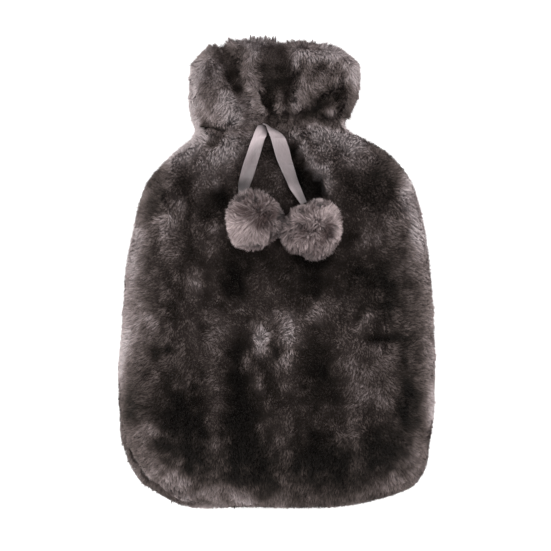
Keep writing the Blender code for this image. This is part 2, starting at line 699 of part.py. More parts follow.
def build_cover():
    """All six pieces, seated on each other."""
    front = panel_mesh(FRONT_ROWS, FRONT_COLUMNS, 1, True, FRONT_RIM_LOCKS)
    back = panel_mesh(BACK_ROWS, BACK_COLUMNS, -1, False, BACK_RIM_LOCKS)
    tree = BVHTree.FromBMesh(front)

    left_centre = pompom_centre(LEFT_POMPOM, tree)
    right_centre = pompom_centre(RIGHT_POMPOM, tree)
    between = (left_centre + right_centre) / 2
    apart = (right_centre - left_centre).normalized()
    left_tail = tail_mesh(tail_to_core(LEFT_TAIL, LEFT_POMPOM, left_centre, tree), tree)
    right_tail = tail_mesh(tail_to_core(RIGHT_TAIL, RIGHT_POMPOM, right_centre, tree), tree)
    left_ball = pompom_mesh(LEFT_POMPOM, left_centre, tree, (between, -apart), left_tail)
    right_ball = pompom_mesh(RIGHT_POMPOM, right_centre, tree, (between, apart), right_tail)

    pieces = (
        ("front_panel", front, fur_material("front_pile", PELT_COLOUR)),
        ("back_panel", back, fur_material("back_pile", PELT_COLOUR)),
        ("ribbon_left", left_tail, satin_material("left_satin", SATIN_COLOUR)),
        ("ribbon_right", right_tail, satin_material("right_satin", SATIN_COLOUR)),
        ("pompom_left", left_ball, fur_material("left_pompom_pile", POMPOM_COLOUR)),
        ("pompom_right", right_ball, fur_material("right_pompom_pile", POMPOM_COLOUR)),
    )
    offset = middle_offset([bm for _, bm, _ in pieces])
    for name, bm, material in pieces:
        add_object(name, bm, material, offset)


for leftover in list(bpy.data.objects):
    bpy.data.objects.remove(leftover, do_unlink=True)
build_cover()
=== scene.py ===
import itertools
import math

import bpy
import numpy as np
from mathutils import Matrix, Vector
from mathutils.bvhtree import BVHTree
from mathutils.kdtree import KDTree


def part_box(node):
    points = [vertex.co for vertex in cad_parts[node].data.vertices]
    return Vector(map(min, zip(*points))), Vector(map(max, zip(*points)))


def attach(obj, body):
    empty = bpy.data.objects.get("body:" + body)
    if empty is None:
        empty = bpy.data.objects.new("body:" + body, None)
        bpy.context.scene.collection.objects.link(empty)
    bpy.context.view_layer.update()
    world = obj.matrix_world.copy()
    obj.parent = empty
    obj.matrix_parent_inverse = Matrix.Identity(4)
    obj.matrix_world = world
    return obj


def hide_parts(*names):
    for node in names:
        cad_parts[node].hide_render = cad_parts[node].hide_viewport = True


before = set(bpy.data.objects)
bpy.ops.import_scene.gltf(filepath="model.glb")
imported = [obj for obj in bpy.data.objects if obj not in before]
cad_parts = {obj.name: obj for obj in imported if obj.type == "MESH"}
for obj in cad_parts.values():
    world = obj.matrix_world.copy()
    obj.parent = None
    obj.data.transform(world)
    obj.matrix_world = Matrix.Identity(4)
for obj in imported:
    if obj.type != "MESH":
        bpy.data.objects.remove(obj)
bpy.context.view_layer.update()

# Hot water bottle cover in faux fur, lying on its back. Places and sizes are in
# millimetres in the frame of the CAD part, and turn into metres in makeMesh.
mm = 0.001
body = "root"
up = Vector((0, 0, 1))

studio = {
    "cameraHeight": 3000.0,   # straight above the cover
    "aimX": -0.7,
    "aimY": -2.6,
    "viewWidth": 408.6,       # what the picture shows from side to side
    "viewLevel": 30.0,        # at this height above the floor
    "sensor": 36.0,
    "floorSide": 6000.0,
    "floorDrop": 0.3,
    "floorColour": (0.93, 0.93, 0.93),
    "floorGlow": 0.55,
    "skyStrength": 0.55,
}
lamps = (
    # name, place, aimed at, size, power in watts
    ("topLamp", (0, 150, 1700), (0, 0, 0), (1500, 1500), 9.0),
    ("leftLamp", (-1100, 60, 420), (0, 0, 30), (500, 1100), 9.0),
    ("rightLamp", (1100, 60, 420), (0, 0, 30), (500, 1100), 9.0),
    ("lowerLamp", (0, -1200, 480), (0, 0, 30), (1000, 400), 3.0),
)


def makeCamera():
    data = bpy.data.cameras.new("studioCamera")
    camera = bpy.data.objects.new("studioCamera", data)
    bpy.context.collection.objects.link(camera)
    camera.location = Vector((studio["aimX"], studio["aimY"], studio["cameraHeight"])) * mm
    reach = studio["cameraHeight"] - studio["viewLevel"]
    data.sensor_width = studio["sensor"]
    data.lens = studio["sensor"] * reach / studio["viewWidth"]
    data.clip_end = 100
    bpy.context.scene.camera = camera


def makeFloor():
    half = studio["floorSide"] * mm / 2
    mesh = bpy.data.meshes.new("floor")
    corners = [(-half, -half, 0), (half, -half, 0), (half, half, 0), (-half, half, 0)]
    mesh.from_pydata(corners, [], [(0, 1, 2, 3)])
    material, shader, _ = newMaterial("paleFloor")
    shader.inputs["Base Color"].default_value = (*studio["floorColour"], 1)
    shader.inputs["Roughness"].default_value = 0.8
    shader.inputs["Emission Color"].default_value = (1, 1, 1, 1)
    shader.inputs["Emission Strength"].default_value = studio["floorGlow"]
    mesh.materials.append(material)
    floor = bpy.data.objects.new("floor", mesh)
    bpy.context.collection.objects.link(floor)
    floor.location.z = -studio["floorDrop"] * mm


def makeLamps():
    for name, place, aim, size, power in lamps:
        data = bpy.data.lights.new(name, "AREA")
        data.shape = "RECTANGLE"
        data.size = size[0] * mm
        data.size_y = size[1] * mm
        data.energy = power
        lamp = bpy.data.objects.new(name, data)
        bpy.context.collection.objects.link(lamp)
        lamp.location = Vector(place) * mm
        lamp.rotation_euler = (Vector(place) - Vector(aim)).to_track_quat("Z", "Y").to_euler()
    world = bpy.data.worlds.new("studioWorld")
    world.use_nodes = True
    sky = world.node_tree.nodes["Background"]
    sky.inputs["Color"].default_value = (1, 1, 1, 1)
    sky.inputs["Strength"].default_value = studio["skyStrength"]
    bpy.context.scene.world = world
    bpy.context.scene.view_settings.view_transform = "Standard"


def newMaterial(name):
    material = bpy.data.materials.new(name)
    material.use_nodes = True
    tree = material.node_tree
    return material, tree.nodes["Principled BSDF"], tree


def addNode(tree, kind, values=None):
    node = tree.nodes.new("ShaderNode" + kind)
    for socket, value in (values or {}).items():
        node.inputs[socket].default_value = value
    return node


def addRamp(tree, *stops):  # a stop is its place from 0 to 1 and its colour
    ramp = addNode(tree, "ValToRGB")
    for element, (place, colour) in zip(ramp.color_ramp.elements, stops):
        element.position = place
        element.color = (*colour, 1)
    return ramp


def addPaint(tree, layer):
    paint = addNode(tree, "VertexColor")
    paint.layer_name = layer
    return paint


def addMultiply(tree):
    mix = addNode(tree, "Mix")
    mix.data_type = "RGBA"
    mix.blend_type = "MULTIPLY"
    mix.inputs["Factor"].default_value = 1
    return mix


def connect(tree, *joints):  # a joint is a node and its output, then a node and its input
    for one, output, other, entry in joints:
        tree.links.new(one.outputs[output], other.inputs[entry])


def unit(vectors, least=1e-9):  # shorter ones than least stay shorter than 1
    return vectors / np.maximum(np.linalg.norm(vectors, axis=-1, keepdims=True), least)


def alongSurface(way, normal):  # what is left of a direction along a surface
    return way - normal * (way * normal).sum(axis=1, keepdims=True)


def ease(value, start, end):
    t = np.clip((value - start) / (end - start), 0, 1)
    return t * t * (3 - 2 * t)


noisePeriod = 16
noiseGain = 1.6  # brings the noise to about -1 to 1


def softNoise(points, size, seed):  # smooth noise with lumps about as big as size
    table = np.random.default_rng(seed).uniform(-1, 1, (noisePeriod, noisePeriod, noisePeriod))
    cell = points / size
    low = np.floor(cell).astype(int)
    part = cell - low
    part = part * part * (3 - 2 * part)
    total = np.zeros(len(points))
    for corner in itertools.product((0, 1), repeat=3):
        share = np.prod(np.where(corner, part, 1 - part), axis=1)
        i, j, k = ((low + corner) % noisePeriod).T
        total += share * table[i, j, k]
    return total * noiseGain


def softVectors(points, size, seed):
    return np.stack([softNoise(points, size, seed + k) for k in range(3)], axis=1)


def makeMesh(name, points, faces, materials):
    mesh = bpy.data.meshes.new(name)
    mesh.from_pydata((np.asarray(points) * mm).tolist(), [], faces)
    for material in materials:
        mesh.materials.append(material)
    mesh.shade_smooth()
    piece = bpy.data.objects.new(name, mesh)
    bpy.context.collection.objects.link(piece)
    return piece


pelt = {
    "deepest": 3.6,           # of open pile over the dense undercoat
    "shallowest": 1.2,
    "wallShare": 0.4,         # of a wall's thickness that is open pile
    "rimDepth": 2.0,
    "rimTilt": (0.55, 0.95),  # how steep a face is where the rim starts, and where it is all rim
    "spike": 2.5,             # a point of the CAD that stands out this far is the tip of a lock
    "spikeFaces": 4,          # if it has this many triangles round it
    "lift": 0.05,             # how far off the surface a ray starts
    "sink": 0.3,              # and how far inside the wall
    "sideRay": 0.4,           # rays to the sides turn away from the ends by this share
    "underside": -0.9,        # a face that looks further down than this isn't outer
    "ledge": -0.5,            # and one that looks down more than this may be a ledge
    "normalRounds": 4,
    "levelRounds": 5,
    "levelStep": 0.7,
    "depthRounds": 2,
    "undercoatShade": 0.38,   # painted shade deep in the pile: its share of the colour of the tips over it
    # the pompoms' core, painted dark as the shade deep inside them
    "core": (0.020, 0.016, 0.014),
    "inside": (0.14, 0.12, 0.115),
}

# where the panels reach further out at the rim: x, y, half width, half height, turn in degrees, how far
rimReach = (
    (-48, 168, 16, 12, 0, 3.2), (-40, 172, 8, 8, 0, 2.6), (-16, 176, 20, 9, 0, 1.2),
    (14, 174, 26, 10, 0, 2.4), (48, 166, 16, 10, 0, 3.4), (62, 135, 10, 26, 0, 1.8),
    (-66, 135, 10, 36, 0, 1.4), (118, -20, 16, 150, 0, 2.0), (-118, -60, 14, 90, 0, 1.2),
    (108, -152, 22, 20, 0, 3.2), (10, -178, 80, 10, 0, 1.2),
)
ownReach = {  # and at the lower left, where the back panel stands out beyond the front
    "front_panel": ((-97, -148, 12, 12, 0, 2.0), (-74, -166, 22, 15, 0, 6.2)),
    "back_panel": ((-104, -146, 20, 22, 0, 2.6), (-72, -172, 28, 14, 0, 3.2)),
}


patchEdge = 1.3  # above 1 a patch is flatter in its middle and falls off faster


def patchField(x, y, patches):
    total = np.zeros(len(x))
    for middleX, middleY, halfWidth, halfHeight, turn, amount in patches:
        c, s = math.cos(math.radians(turn)), math.sin(math.radians(turn))
        across = ((x - middleX) * c + (y - middleY) * s) / halfWidth
        along = ((y - middleY) * c - (x - middleX) * s) / halfHeight
        total += amount * np.exp(-(across ** 2 + along ** 2) ** patchEdge)
    return total


def steepness(normal, start, end):  # 0 on level ground, 1 on the sides
    return ease(np.hypot(normal[:, 0], normal[:, 1]), start, end)


def readNode(name):  # corners and triangles of a CAD node, welded, in millimetres
    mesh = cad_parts[name].data
    mesh.calc_loop_triangles()
    points = np.empty(len(mesh.vertices) * 3)
    mesh.vertices.foreach_get("co", points)
    points = points.reshape(-1, 3) / mm
    triangles = np.empty(len(mesh.loop_triangles) * 3, dtype=int)
    mesh.loop_triangles.foreach_get("vertices", triangles)
    _, first, welded = np.unique(np.round(points, 2), axis=0, return_index=True, return_inverse=True)
    triangles = welded.reshape(-1)[triangles].reshape(-1, 3)
    real = (triangles[:, 0] != triangles[:, 1]) & (triangles[:, 1] != triangles[:, 2])
    real &= triangles[:, 2] != triangles[:, 0]
    return points[first], triangles[real]


def neighbourMeans(values, triangles):
    total = np.zeros_like(values)
    count = np.zeros(len(values))
    for a, b in ((0, 1), (1, 2), (2, 0)):
        for one, other in ((a, b), (b, a)):
            np.add.at(total, triangles[:, one], values[triangles[:, other]])
            np.add.at(count, triangles[:, one], 1)
    count = np.maximum(count, 1)
    return total / (count[:, None] if values.ndim > 1 else count)


def faceNormals(points, triangles):
    a, b, c = (points[triangles[:, k]] for k in range(3))
    return np.cross(b - a, c - a)


def makeSkin(name, face, other):  # face is 1 for the front panel and -1 for the back panel
    points, triangles = readNode(name)
    otherPoints, otherTriangles = readNode(other)
    otherTree = BVHTree.FromPolygons(otherPoints.tolist(), otherTriangles.tolist())
    means = neighbourMeans(points, triangles)
    spikes = np.linalg.norm(points - means, axis=1) > pelt["spike"]
    counts = np.bincount(triangles.ravel(), minlength=len(points))
    spikes &= counts == pelt["spikeFaces"]
    points = np.where(spikes[:, None], means, points)

    tree = BVHTree.FromPolygons(points.tolist(), triangles.tolist())
    areaNormals = faceNormals(points, triangles)
    normals = unit(areaNormals)
    middles = points[triangles].mean(axis=1)
    outer = np.zeros(len(triangles), dtype=bool)
    for k, (middle, normal) in enumerate(zip(middles, normals)):
        start = Vector(middle + normal * pelt["lift"])
        away = Vector((middle[0], middle[1] * pelt["sideRay"], 0)).normalized()
        free = tree.ray_cast(start, up * face)[0] is None
        free = free or tree.ray_cast(start, away)[0] is None
        outer[k] = free and normal[2] * face > pelt["underside"]
        if not outer[k] and normal[2] * face < pelt["ledge"]:  # a ledge that the other panel doesn't cover
            hits = [each.ray_cast(start, -up * face)[0] for each in (tree, otherTree)]
            outer[k] = hits == [None, None]
    shown = triangles[outer]

    crisp = np.zeros_like(points)
    for k in range(3):
        np.add.at(crisp, shown[:, k], areaNormals[outer])
    crisp = unit(crisp)
    smooth = crisp
    for _ in range(pelt["normalRounds"]):
        smooth = unit(smooth + neighbourMeans(smooth, shown))
    level = points
    for _ in range(pelt["levelRounds"]):
        level = level + (neighbourMeans(level, shown) - level) * pelt["levelStep"]
    rim = steepness(smooth, *pelt["rimTilt"])
    relief = ((points - level) * smooth).sum(axis=1) * (1 - rim)
    relief = (relief + neighbourMeans(relief, shown)) / 2
    used = np.zeros(len(points), dtype=bool)
    used[shown] = True
    depth = np.full(len(points), pelt["shallowest"])
    for k in np.nonzero(used)[0]:
        start = Vector(points[k] - smooth[k] * pelt["sink"])
        _, _, _, wall = tree.ray_cast(start, Vector(-smooth[k]))
        depth[k] = (wall or 0) * pelt["wallShare"]
    depth = np.clip(depth, pelt["shallowest"], pelt["deepest"]) * (1 - rim) + pelt["rimDepth"] * rim
    for _ in range(pelt["depthRounds"]):
        depth = np.where(used, np.minimum(depth, (depth + neighbourMeans(depth, shown)) / 2), depth)
    reach = patchField(points[:, 0], points[:, 1], rimReach + ownReach[name])
    points = points + smooth * (1, 1, 0) * (reach * rim * used)[:, None]
    return {"at": points, "normal": smooth, "crisp": crisp, "relief": relief, "depth": depth,
            "triangles": triangles, "outer": outer, "shown": shown, "used": used}


def markSeam(skin, other):  # how far each corner of one panel is from the other panel
    tree = BVHTree.FromPolygons(other["at"].tolist(), other["triangles"].tolist())
    skin["seam"] = np.array([tree.find_nearest(Vector(point))[3] for point in skin["at"]])


def undercoatMaterial():
    material, shader, tree = newMaterial("undercoat")
    paint = addPaint(tree, "pileColour")
    noise = addNode(tree, "TexNoise", {"Scale": 900, "Detail": 4})
    ramp = addRamp(tree, (0.3, (0.35, 0.35, 0.35)), (0.7, (1.4, 1.4, 1.4)))
    mix = addMultiply(tree)
    bump = addNode(tree, "Bump", {"Strength": 0.6, "Distance": 0.0008})
    connect(tree, (noise, "Fac", ramp, "Fac"), (noise, "Fac", bump, "Height"),
            (paint, "Color", mix, "A"), (ramp, "Color", mix, "B"),
            (mix, "Result", shader, "Base Color"), (bump, "Normal", shader, "Normal"))
    shader.inputs["Roughness"].default_value = 0.95
    shader.inputs["Specular IOR Level"].default_value = 0.1
    return material


def insideMaterial():  # knitted backing cloth, seen through the mouth
    material, shader, tree = newMaterial("knittedBacking")
    place = addNode(tree, "TexCoord")
    wales = addNode(tree, "TexWave", {"Scale": 210, "Distortion": 1.5})
    wales.bands_direction = "X"
    courses = addNode(tree, "TexWave", {"Scale": 170, "Distortion": 2.0})
    courses.bands_direction = "Y"
    knit = addNode(tree, "Math")
    knit.operation = "MULTIPLY"
    colour = np.array(pelt["inside"])
    ramp = addRamp(tree, (0, colour * 0.55), (1, colour * 1.3))
    bump = addNode(tree, "Bump", {"Strength": 0.5, "Distance": 0.0006})
    connect(tree, (place, "Object", wales, "Vector"), (place, "Object", courses, "Vector"),
            (wales, "Fac", knit, 0), (courses, "Fac", knit, 1), (knit, "Value", ramp, "Fac"),
            (knit, "Value", bump, "Height"), (ramp, "Color", shader, "Base Color"),
            (bump, "Normal", shader, "Normal"))
    shader.inputs["Roughness"].default_value = 0.9
    return material


def paintPoints(mesh, colours):
    paint = mesh.color_attributes.new("pileColour", "FLOAT_COLOR", "POINT")
    colours = np.concatenate((colours, np.ones((*colours.shape[:-1], 1))), axis=-1)
    paint.data.foreach_set("color", colours.astype(np.float32).ravel())


def makePelt(name, skin, node, lightField, materials):
    points = skin["at"] - skin["normal"] * (skin["depth"] * skin["used"])[:, None]
    piece = makeMesh(name, points, skin["triangles"].tolist(), materials)
    piece.data.polygons.foreach_set("material_index", np.where(skin["outer"], 0, 1))
    paintPoints(piece.data, tipColours(lightField(skin)) * pelt["undercoatShade"])
    finer = piece.modifiers.new("rounding", "SUBSURF")
    finer.levels = 1
    finer.render_levels = 1
    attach(piece, body)
    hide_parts(node)
    return piece


def scatter(skin, count, rng, keep):  # places spread evenly over part of a skin, with normal and depth
    points, shown = skin["at"], skin["shown"]
    corners = points[shown]
    area = np.linalg.norm(np.cross(corners[:, 1] - corners[:, 0], corners[:, 2] - corners[:, 0]), axis=1)
    area = area * keep(corners.mean(axis=1), unit(faceNormals(points, shown)))
    steps = (np.arange(count) + rng.uniform(0, 1, count)) / count * area.sum()
    pick = np.minimum(np.searchsorted(np.cumsum(area), steps), len(area) - 1)
    one = np.sqrt(rng.uniform(0, 1, count))
    two = rng.uniform(0, 1, count)
    weights = np.stack((1 - one, one * (1 - two), one * two), axis=1)[:, :, None]
    chosen = shown[pick]
    spots = {"at": (points[chosen] * weights).sum(axis=1)}
    for key in ("normal", "crisp"):
        spots[key] = unit((skin[key][chosen] * weights).sum(axis=1))
    for key in ("relief", "depth", "seam"):
        spots[key] = (skin[key][chosen] * weights[:, :, 0]).sum(axis=1)
    return spots


def nearestSeed(places, seeds):
    tree = KDTree(len(seeds))
    for k, seed in enumerate(seeds):
        tree.insert(seed, k)
    tree.balance()
    return np.array([tree.find(place)[1] for place in places])


strand = {
    "lean": 0.05,         # keeps a blade's side apart from its own direction
    "bendWidth": 0.85,    # of its width at the root
    "bendTone": 0.55,     # how much of the tip's colour it has there
    "floorGap": 0.05,
}


def makeStrands(name, root, bend, tip, width, roll, facing, rootColour, tipColour, material):
    # a strand is a blade: a quad from its root to its bend and a triangle to its tip,
    # or with no bend one triangle
    count = len(root)
    along = unit(tip - root)
    side = unit(np.cross(facing + np.roll(along, 1, axis=1) * strand["lean"], along))
    front = np.cross(along, side)
    side = side * np.cos(roll)[:, None] + front * np.sin(roll)[:, None]
    blade = np.cross(side, along)
    turned = (blade * facing).sum(axis=1) < 0
    side[turned] *= -1
    blade[turned] *= -1
    half = side * width[:, None] / 2
    if bend is None:
        corners = np.stack((root - half, root + half, tip), axis=1)
        loops, starts, mix = [0, 1, 2], [0], (0, 0, 1)
        shape = ((.1, .05), (.9, .05), (.5, .95))  # of the blade in its own cell of the layer for baking
    else:
        narrow = half * strand["bendWidth"]
        corners = np.stack((root - half, root + half, bend + narrow, bend - narrow, tip), axis=1)
        loops, starts = [0, 1, 2, 3, 3, 2, 4], [0, 4]
        mix = (0, 0, strand["bendTone"], strand["bendTone"], 1)
        shape = ((.1, .05), (.9, .05), (.9, .5), (.1, .5), (.1, .5), (.9, .5), (.5, .95))
    corners[:, :, 2] = np.maximum(corners[:, :, 2], strand["floorGap"])
    each = corners.shape[1]
    mesh = bpy.data.meshes.new(name)
    mesh.vertices.add(count * each)
    mesh.vertices.foreach_set("co", (corners * mm).astype(np.float32).ravel())
    order = (np.arange(count)[:, None] * each + loops).ravel()
    mesh.loops.add(len(order))
    mesh.loops.foreach_set("vertex_index", order)
    mesh.polygons.add(count * len(starts))
    mesh.polygons.foreach_set("loop_start", (np.arange(count)[:, None] * len(loops) + starts).ravel())
    mesh.polygons.foreach_set("use_smooth", np.ones(count * len(starts), dtype=bool))
    grid = math.ceil(math.sqrt(count))
    cell = np.stack((np.arange(count) % grid, np.arange(count) // grid), axis=1)[:, None, :]
    layer = mesh.uv_layers.new(name="OFBake")
    layer.uv.foreach_set("vector", ((cell + np.array(shape)) / grid).astype(np.float32).ravel())
    mix = np.array(mix)[None, :, None]
    paintPoints(mesh, rootColour[:, None, :] * (1 - mix) + tipColour[:, None, :] * mix)
    mesh.materials.append(material)
    mesh.update(calc_edges=True)
    shaded = unit(facing * (1 - fur["bladeShare"]) + blade * fur["bladeShare"])
    mesh.normals_split_custom_set_from_vertices(np.repeat(shaded, each, axis=0).tolist())
    piece = bpy.data.objects.new(name, mesh)
    bpy.context.collection.objects.link(piece)
    return piece


def pileMaterial(name, roughness, sheen):
    material, shader, tree = newMaterial(name)
    connect(tree, (addPaint(tree, "pileColour"), "Color", shader, "Base Color"))
    shader.inputs["Roughness"].default_value = roughness
    shader.inputs["Sheen Weight"].default_value = sheen
    shader.inputs["Specular IOR Level"].default_value = 0.15
    return material


# x, y, half width, half height, turn in degrees, and how much lighter or darker: partly the pile's brushed
# tone and partly painted light and shade, such as painted light on the shoulders' folds and painted shade in
# the collar's folds
brushedAndLitPile = (
    # collar
    (-40, 147, 7, 8, 0, .28), (17, 116, 5, 5, 0, .12), (43, 115, 4, 5, 0, .14), (-12, 126, 3, 8, 0, .08),
    (-63, 137, 4, 18, 0, .36), (-20, 170, 12, 5, 0, .62), (-5, 160, 6, 6, 0, .24), (13, 151, 6, 6, 0, .28),
    (40, 160, 8, 6, 0, .50), (0, 160, 5, 6, 0, .08), (61, 139, 4, 13, 0, .38), (-28, 127, 5, 8, 0, .24),
    (-9, 124, 4, 12, 0, .10), (-35, 127, 8, 14, 20, .26), (-53, 149, 8, 12, 0, .20),
    (46, 166, 9, 8, 0, .32), (-15, 165, 7, 7, 0, .24), (13, 155, 6, 8, 0, .16), (57, 138, 4, 6, 0, .16),
    (55, 135, 5, 5, 0, .18), (-40, 119, 17, 12, 0, .28), (-51, 146, 10, 20, 0, .20),
    (-17, 137, 8, 28, 3, .28), (2, 127, 3.5, 13, 0, .14), (22, 134, 8, 22, -28, .26),
    (42, 157, 19, 10, -15, .26), (54, 145, 8, 8, 0, .22), (46, 115, 12, 7, 0, .12),
    (20, 162, 12, 9, 0, .20), (-30, 160, 14, 8, 0, .14), (-26, 112, 10, 7, 0, .20),
    # shoulders, and beside the ribbon
    (-74, 84, 20, 14, 30, .24), (-50, 80, 12, 20, -25, .28), (-98, 62, 8, 16, 0, .10),
    (-64, 93, 17, 5, 35, .40), (-38, 90, 13, 9, 40, .42), (-30, 104, 9, 6, 0, .22),
    (52, 99, 20, 9, -25, .20), (24, 104, 10, 6, -30, .14), (101, 54, 9, 21, 0, .34),
    (-23, 94, 5, 5, 0, .14), (12, 103, 7, 6, 0, .26), (43, 90, 13, 7, 0, .12), (-64, 85, 9, 7, 0, .12),
    (-27, 101, 8, 9, 0, .16), (-30, 88, 8, 8, 0, .12), (-33, 68, 6, 14, 0, .12), (-62, 97, 6, 6, 0, .58),
    (-68, 89, 8, 6, 0, .46), (-77, 81, 10, 6, 0, .18), (-86, 68, 8, 8, 0, .12), (-72, 50, 5, 18, 0, .12),
    (-48, 65, 10, 7, 0, .16), (-35, 80, 7, 10, 0, .20), (71, 80, 5, 5, 0, .16), (-45, 103, 6, 7, 0, .12),
    (8, 98, 4, 4, 0, .14), (30, 98, 9, 4, 0, .34), (11, 98, 6, 5, 0, .18), (62, 98, 6, 5, 0, .18),
    (17, 80, 6, 5, 0, .20), (63, 84, 14, 8, 0, .26), (103, 57, 7, 8, 0, .14), (62, 98, 5, 5, 0, .26),
    (-28, 89, 4, 6, 0, .26), (-46, 62, 12, 12, 0, .14), (50, 80, 22, 5, 0, .12), (38, 101, 20, 8, -20, .40),
    (21, 91, 3, 8, 22, .34), (27, 80, 4, 7, 30, .38), (35, 73, 6, 5, -25, .36), (39, 62, 4, 9, 0, .34),
    (34, 84, 8, 10, 25, .22), (66, 88, 16, 8, -25, .16), (0, 76, 9, 20, 0, .12),
    # left side
    (-103, -62, 8, 22, 0, .12), (-104, -88, 6, 14, 0, .10), (-93, -36, 8, 6, 0, .16),
    (-78, 2, 6, 16, 0, .10), (-82, 33, 12, 12, 0, .26), (-90, 22, 12, 14, 0, .26), (-60, -6, 4, 9, 0, .34),
    (-104, -35, 12, 34, 0, .20), (-84, -52, 12, 14, 0, .12), (-97, -117, 12, 9, 0, .28),
    (-99, -17, 7, 32, 0, .04), (-71, 47, 6, 8, 0, .14), (-89, -34, 5, 9, 0, .12), (-94, -79, 7, 9, 0, .12),
    (-72, 13, 5, 7, 0, .22), (-108, 1, 4, 14, 0, .12), (-63, -104, 5, 7, 0, .18),
    # middle
    (-51, 33, 13, 10, 0, .08), (-54, -40, 8, 14, 0, .14), (-28, -28, 8, 3.5, 0, .28),
    (-38, -44, 6, 5, 0, .30), (-12, -50, 6, 12, 5, .60), (6, -44, 6, 11, 0, .30), (-2, -32, 12, 5, 0, .12),
    (32, -29, 13, 7, 28, .34), (10, -66, 10, 4.5, 35, .40), (-22, -67, 5, 6, 0, .42),
    (-13.5, -82, 4, 6.5, 0, .40), (-7, -97, 3, 5, 0, .20), (-9, -113, 5, 6, 0, .28), (45, 45, 6, 5, 0, .10),
    (39, -10, 5, 12, 0, .10), (16, -46, 5, 10, 0, .40), (17, -62, 5, 5, 0, .20), (-18, -64, 5, 5, 0, -.16),
    (48, -60, 5, 12, 0, .10), (44, 14, 6, 7, 0, .24), (44, -73, 6, 12, 0, .18), (-45, 34, 5, 18, 0, .10),
    (-46, 9, 6, 6, 0, .14), (-27, -36, 5, 4, 0, .14), (41, -67, 8, 9, 0, .12),
    # right side
    (80, 33, 13, 11, 0, .12), (65, 24, 6, 9, 0, .22), (66, -37, 12, 3.5, 35, .36),
    (82, -64, 22, 13, 0, .22), (56, -62, 9, 16, 0, .08), (77, -88, 18, 13, 40, .26),
    (92, -30, 8, 22, 0, .12), (106, 28, 7, 20, 0, .26), (112, -102, 6, 18, 0, .18), (60, 12, 9, 10, 0, .12),
    (92, -90, 6, 7, 0, .08), (98, 4, 6, 8, 0, .14), (112, -13, 5, 8, 0, .16), (84, -97, 9, 9, 0, .14),
    (67, -90, 6, 5, 0, .16), (75, -107, 8, 5, 0, .08),
    # lower edge
    (-80, -149, 20, 9, -35, .24), (-38, -162, 20, 6, -5, .34), (-28, -171, 18, 4, 0, .18),
    (84, -157, 17, 8, 40, .32), (102, -138, 8, 18, -12, .20), (-70, -141, 4, 7, 0, .18),
    (-93, -130, 5, 7, 0, .12), (-58, -168, 16, 5, 0, .18), (-12, -172, 18, 4, 0, .18),
    (-95, -152, 7, 9, 0, .22), (-98, -132, 4, 5, 0, .10), (-85, -165, 10, 5, 0, .24),
    (-70, -170, 14, 4, 0, .26), (-27, -168, 9, 6, 0, .46), (105, -155, 5, 6, 0, .08),
    (-71, -142, 4, 6, 0, .12), (30, -151, 14, 5, 0, .08),
)
